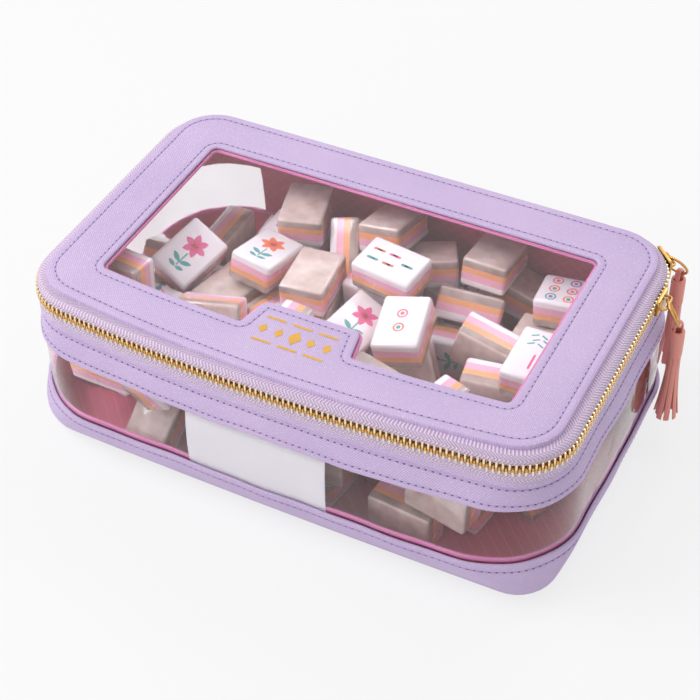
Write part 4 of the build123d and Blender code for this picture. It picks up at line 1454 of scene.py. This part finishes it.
def tiles(suit):
    points, polygons, finishes = layered_tile()
    bodies, prints = [], []
    for k, (centre, axes) in enumerate(tile_places(f"tiles_{suit}")):
        if k in TURNED_TILES.get(suit, ()):
            axes = axes * [1, -1, -1]
        bodies.append((points @ axes.T + centre, polygons, finishes))
        for mark, faces, ink in FACES[suit](k):
            prints.append((mark @ axes.T + centre, faces, ink))
    made = merge_shapes(f"layered_tiles_{suit}", bodies, TILE_FINISHES, 40.0)
    sew(made, "case", "layered_resin", f"tiles_{suit}")
    marks = merge_shapes(f"printed_faces_{suit}", prints, INKS)
    sew(marks, "case", "layered_resin")


# Stage


def aim(made, place, target):
    made.location = place
    made.rotation_euler = (Vector(target) - Vector(place)).to_track_quat("-Z", "Y").to_euler()


def area_light(name, place, size, power, colour=(1.0, 1.0, 1.0)):
    data = bpy.data.lights.new(name, "AREA")
    data.size = size
    data.energy = power
    data.color = colour
    aim(put_in(name, data), place, (0, 0, 0.03))


def seen_share(tree, share):
    """A share for what the camera sees straight, in gloss or through glass."""
    light = tree.nodes.new("ShaderNodeLightPath")
    direct = math_node(
        tree, "MAXIMUM", light.outputs["Is Camera Ray"], light.outputs["Is Glossy Ray"]
    )
    seen = math_node(tree, "MAXIMUM", direct, light.outputs["Is Transmission Ray"])
    return math_node(tree, "MULTIPLY", seen, share)


def floor_paint():
    """Pale paint that keeps a faint shadow."""
    material, tree, shader = start_material("pale_floor_paint", Roughness=0.9)
    cloud = place_group(
        tree, CLOUDY, Vector=surface_vector(tree, False), Size=3.0, Grain=40.0
    )
    colour = blend_colours(tree, cloud.outputs["Patch"], tint("F2F2F2"), tint("EFEFEF"))
    tree.links.new(colour, shader.inputs["Base Color"])
    glow = add_node(tree, "ShaderNodeEmission", {0: tint("FAFAFA"), 1: 1.0})
    show_mix(tree, seen_share(tree, 0.78), shader, glow)
    return material


def stage():
    mesh = bpy.data.meshes.new("pale_floor")
    half = 3.0
    corners = [(-half, -half, 0), (half, -half, 0), (half, half, 0), (-half, half, 0)]
    mesh.from_pydata(corners, [], [(0, 1, 2, 3)])
    floor = put_in("pale_floor", mesh)
    mesh.materials.append(floor_paint())
    floor.location.z = -0.0002

    world = bpy.data.worlds.new("soft_white_room")
    bpy.context.scene.world = world
    world.use_nodes = True
    tree = world.node_tree
    tree.nodes.clear()
    room = add_node(tree, "ShaderNodeBackground", {0: (1, 1, 1, 1), 1: 0.62})
    backdrop = add_node(tree, "ShaderNodeBackground", {0: tint("FAFAFA"), 1: 1.0})
    tree.nodes.new("ShaderNodeOutputWorld")
    show_mix(tree, seen_share(tree, 1.0), room, backdrop)
    area_light("key_window", (-0.8, -0.35, 1.1), 0.7, 9.0)
    area_light("front_fill", (-0.5, -1.1, 0.45), 0.9, 1.8)
    area_light("back_rim", (0.2, 0.9, 0.9), 0.6, 3.0)


def camera():
    azimuth, height, roll = (math.radians(a) for a in (28.53, 43.42, -1.96))
    back = Vector((
        math.sin(azimuth) * math.cos(height), -math.cos(azimuth) * math.cos(height),
        math.sin(height),
    ))
    right = Vector((math.cos(azimuth), math.sin(azimuth), 0))
    up = back.cross(right)
    across = right * math.cos(roll) + up * math.sin(roll)
    upright = -right * math.sin(roll) + up * math.cos(roll)
    data = bpy.data.cameras.new("photo_view")
    data.lens = 85.07
    data.sensor_width = 36.0
    made = put_in("photo_view", data)
    turn = Matrix((across, upright, back)).transposed().to_4x4()
    made.matrix_world = Matrix.Translation((0.2569, -0.4764, 0.5421)) @ turn
    bpy.context.scene.camera = made


def carry_over():
    """Rigid solids whose shape is right, with their finishes."""
    keep = {
        "base_board": BOARD, "lid_board": BOARD, "foil_mark": FOIL, "side_ring": BRASS,
        "corner_ring": BRASS, "side_bail": BRASS, "corner_bail": BRASS,
        "lower_end_stops": BRASS, "upper_end_stops": BRASS,
    }
    for node, material in keep.items():
        data = NODES[node].data
        data.materials.clear()
        data.materials.append(material)


carry_over()
base_disc("base_leather_sole", 0.0, 1.5, 1.75, LILAC, "lilac_leather", "base_panel")
base_disc("base_lining_cloth", 3.1, 3.55, 2.6, ROSE_LINING, "rose_lining", "base_lining")
lower_band()
linings()
back_panel()
side_window()
upper_band()
name_card()
lower_tape()
upper_tape()
teeth("lower_brass_teeth", -1, 0.0, "case", "lower_zip_teeth")
teeth("upper_brass_teeth", 1, TOOTH_PITCH / 2, "lid", "upper_zip_teeth")
lid_frame()
lid_inside()
lid_pane()
spine()
for unit, low_point, slider_angle in (
    ("side", (134.43, 41.5, 64.43), 0.0),
    ("corner", (123.76, 73.76, 64.43), CORNER_SLIDER_ANGLE),
):
    bevelled_copy(
        f"{unit}_slider", f"{unit}_slider_casting", 0.22, BRASS, f"{unit}_slider_unit",
        "zip_brass",
    )
    tassel(unit, low_point, slider_angle)
for suit in FACES:
    tiles(suit)
stage()
camera()
bpy.context.scene.view_settings.view_transform = "Standard"


bpy.context.view_layer.update()
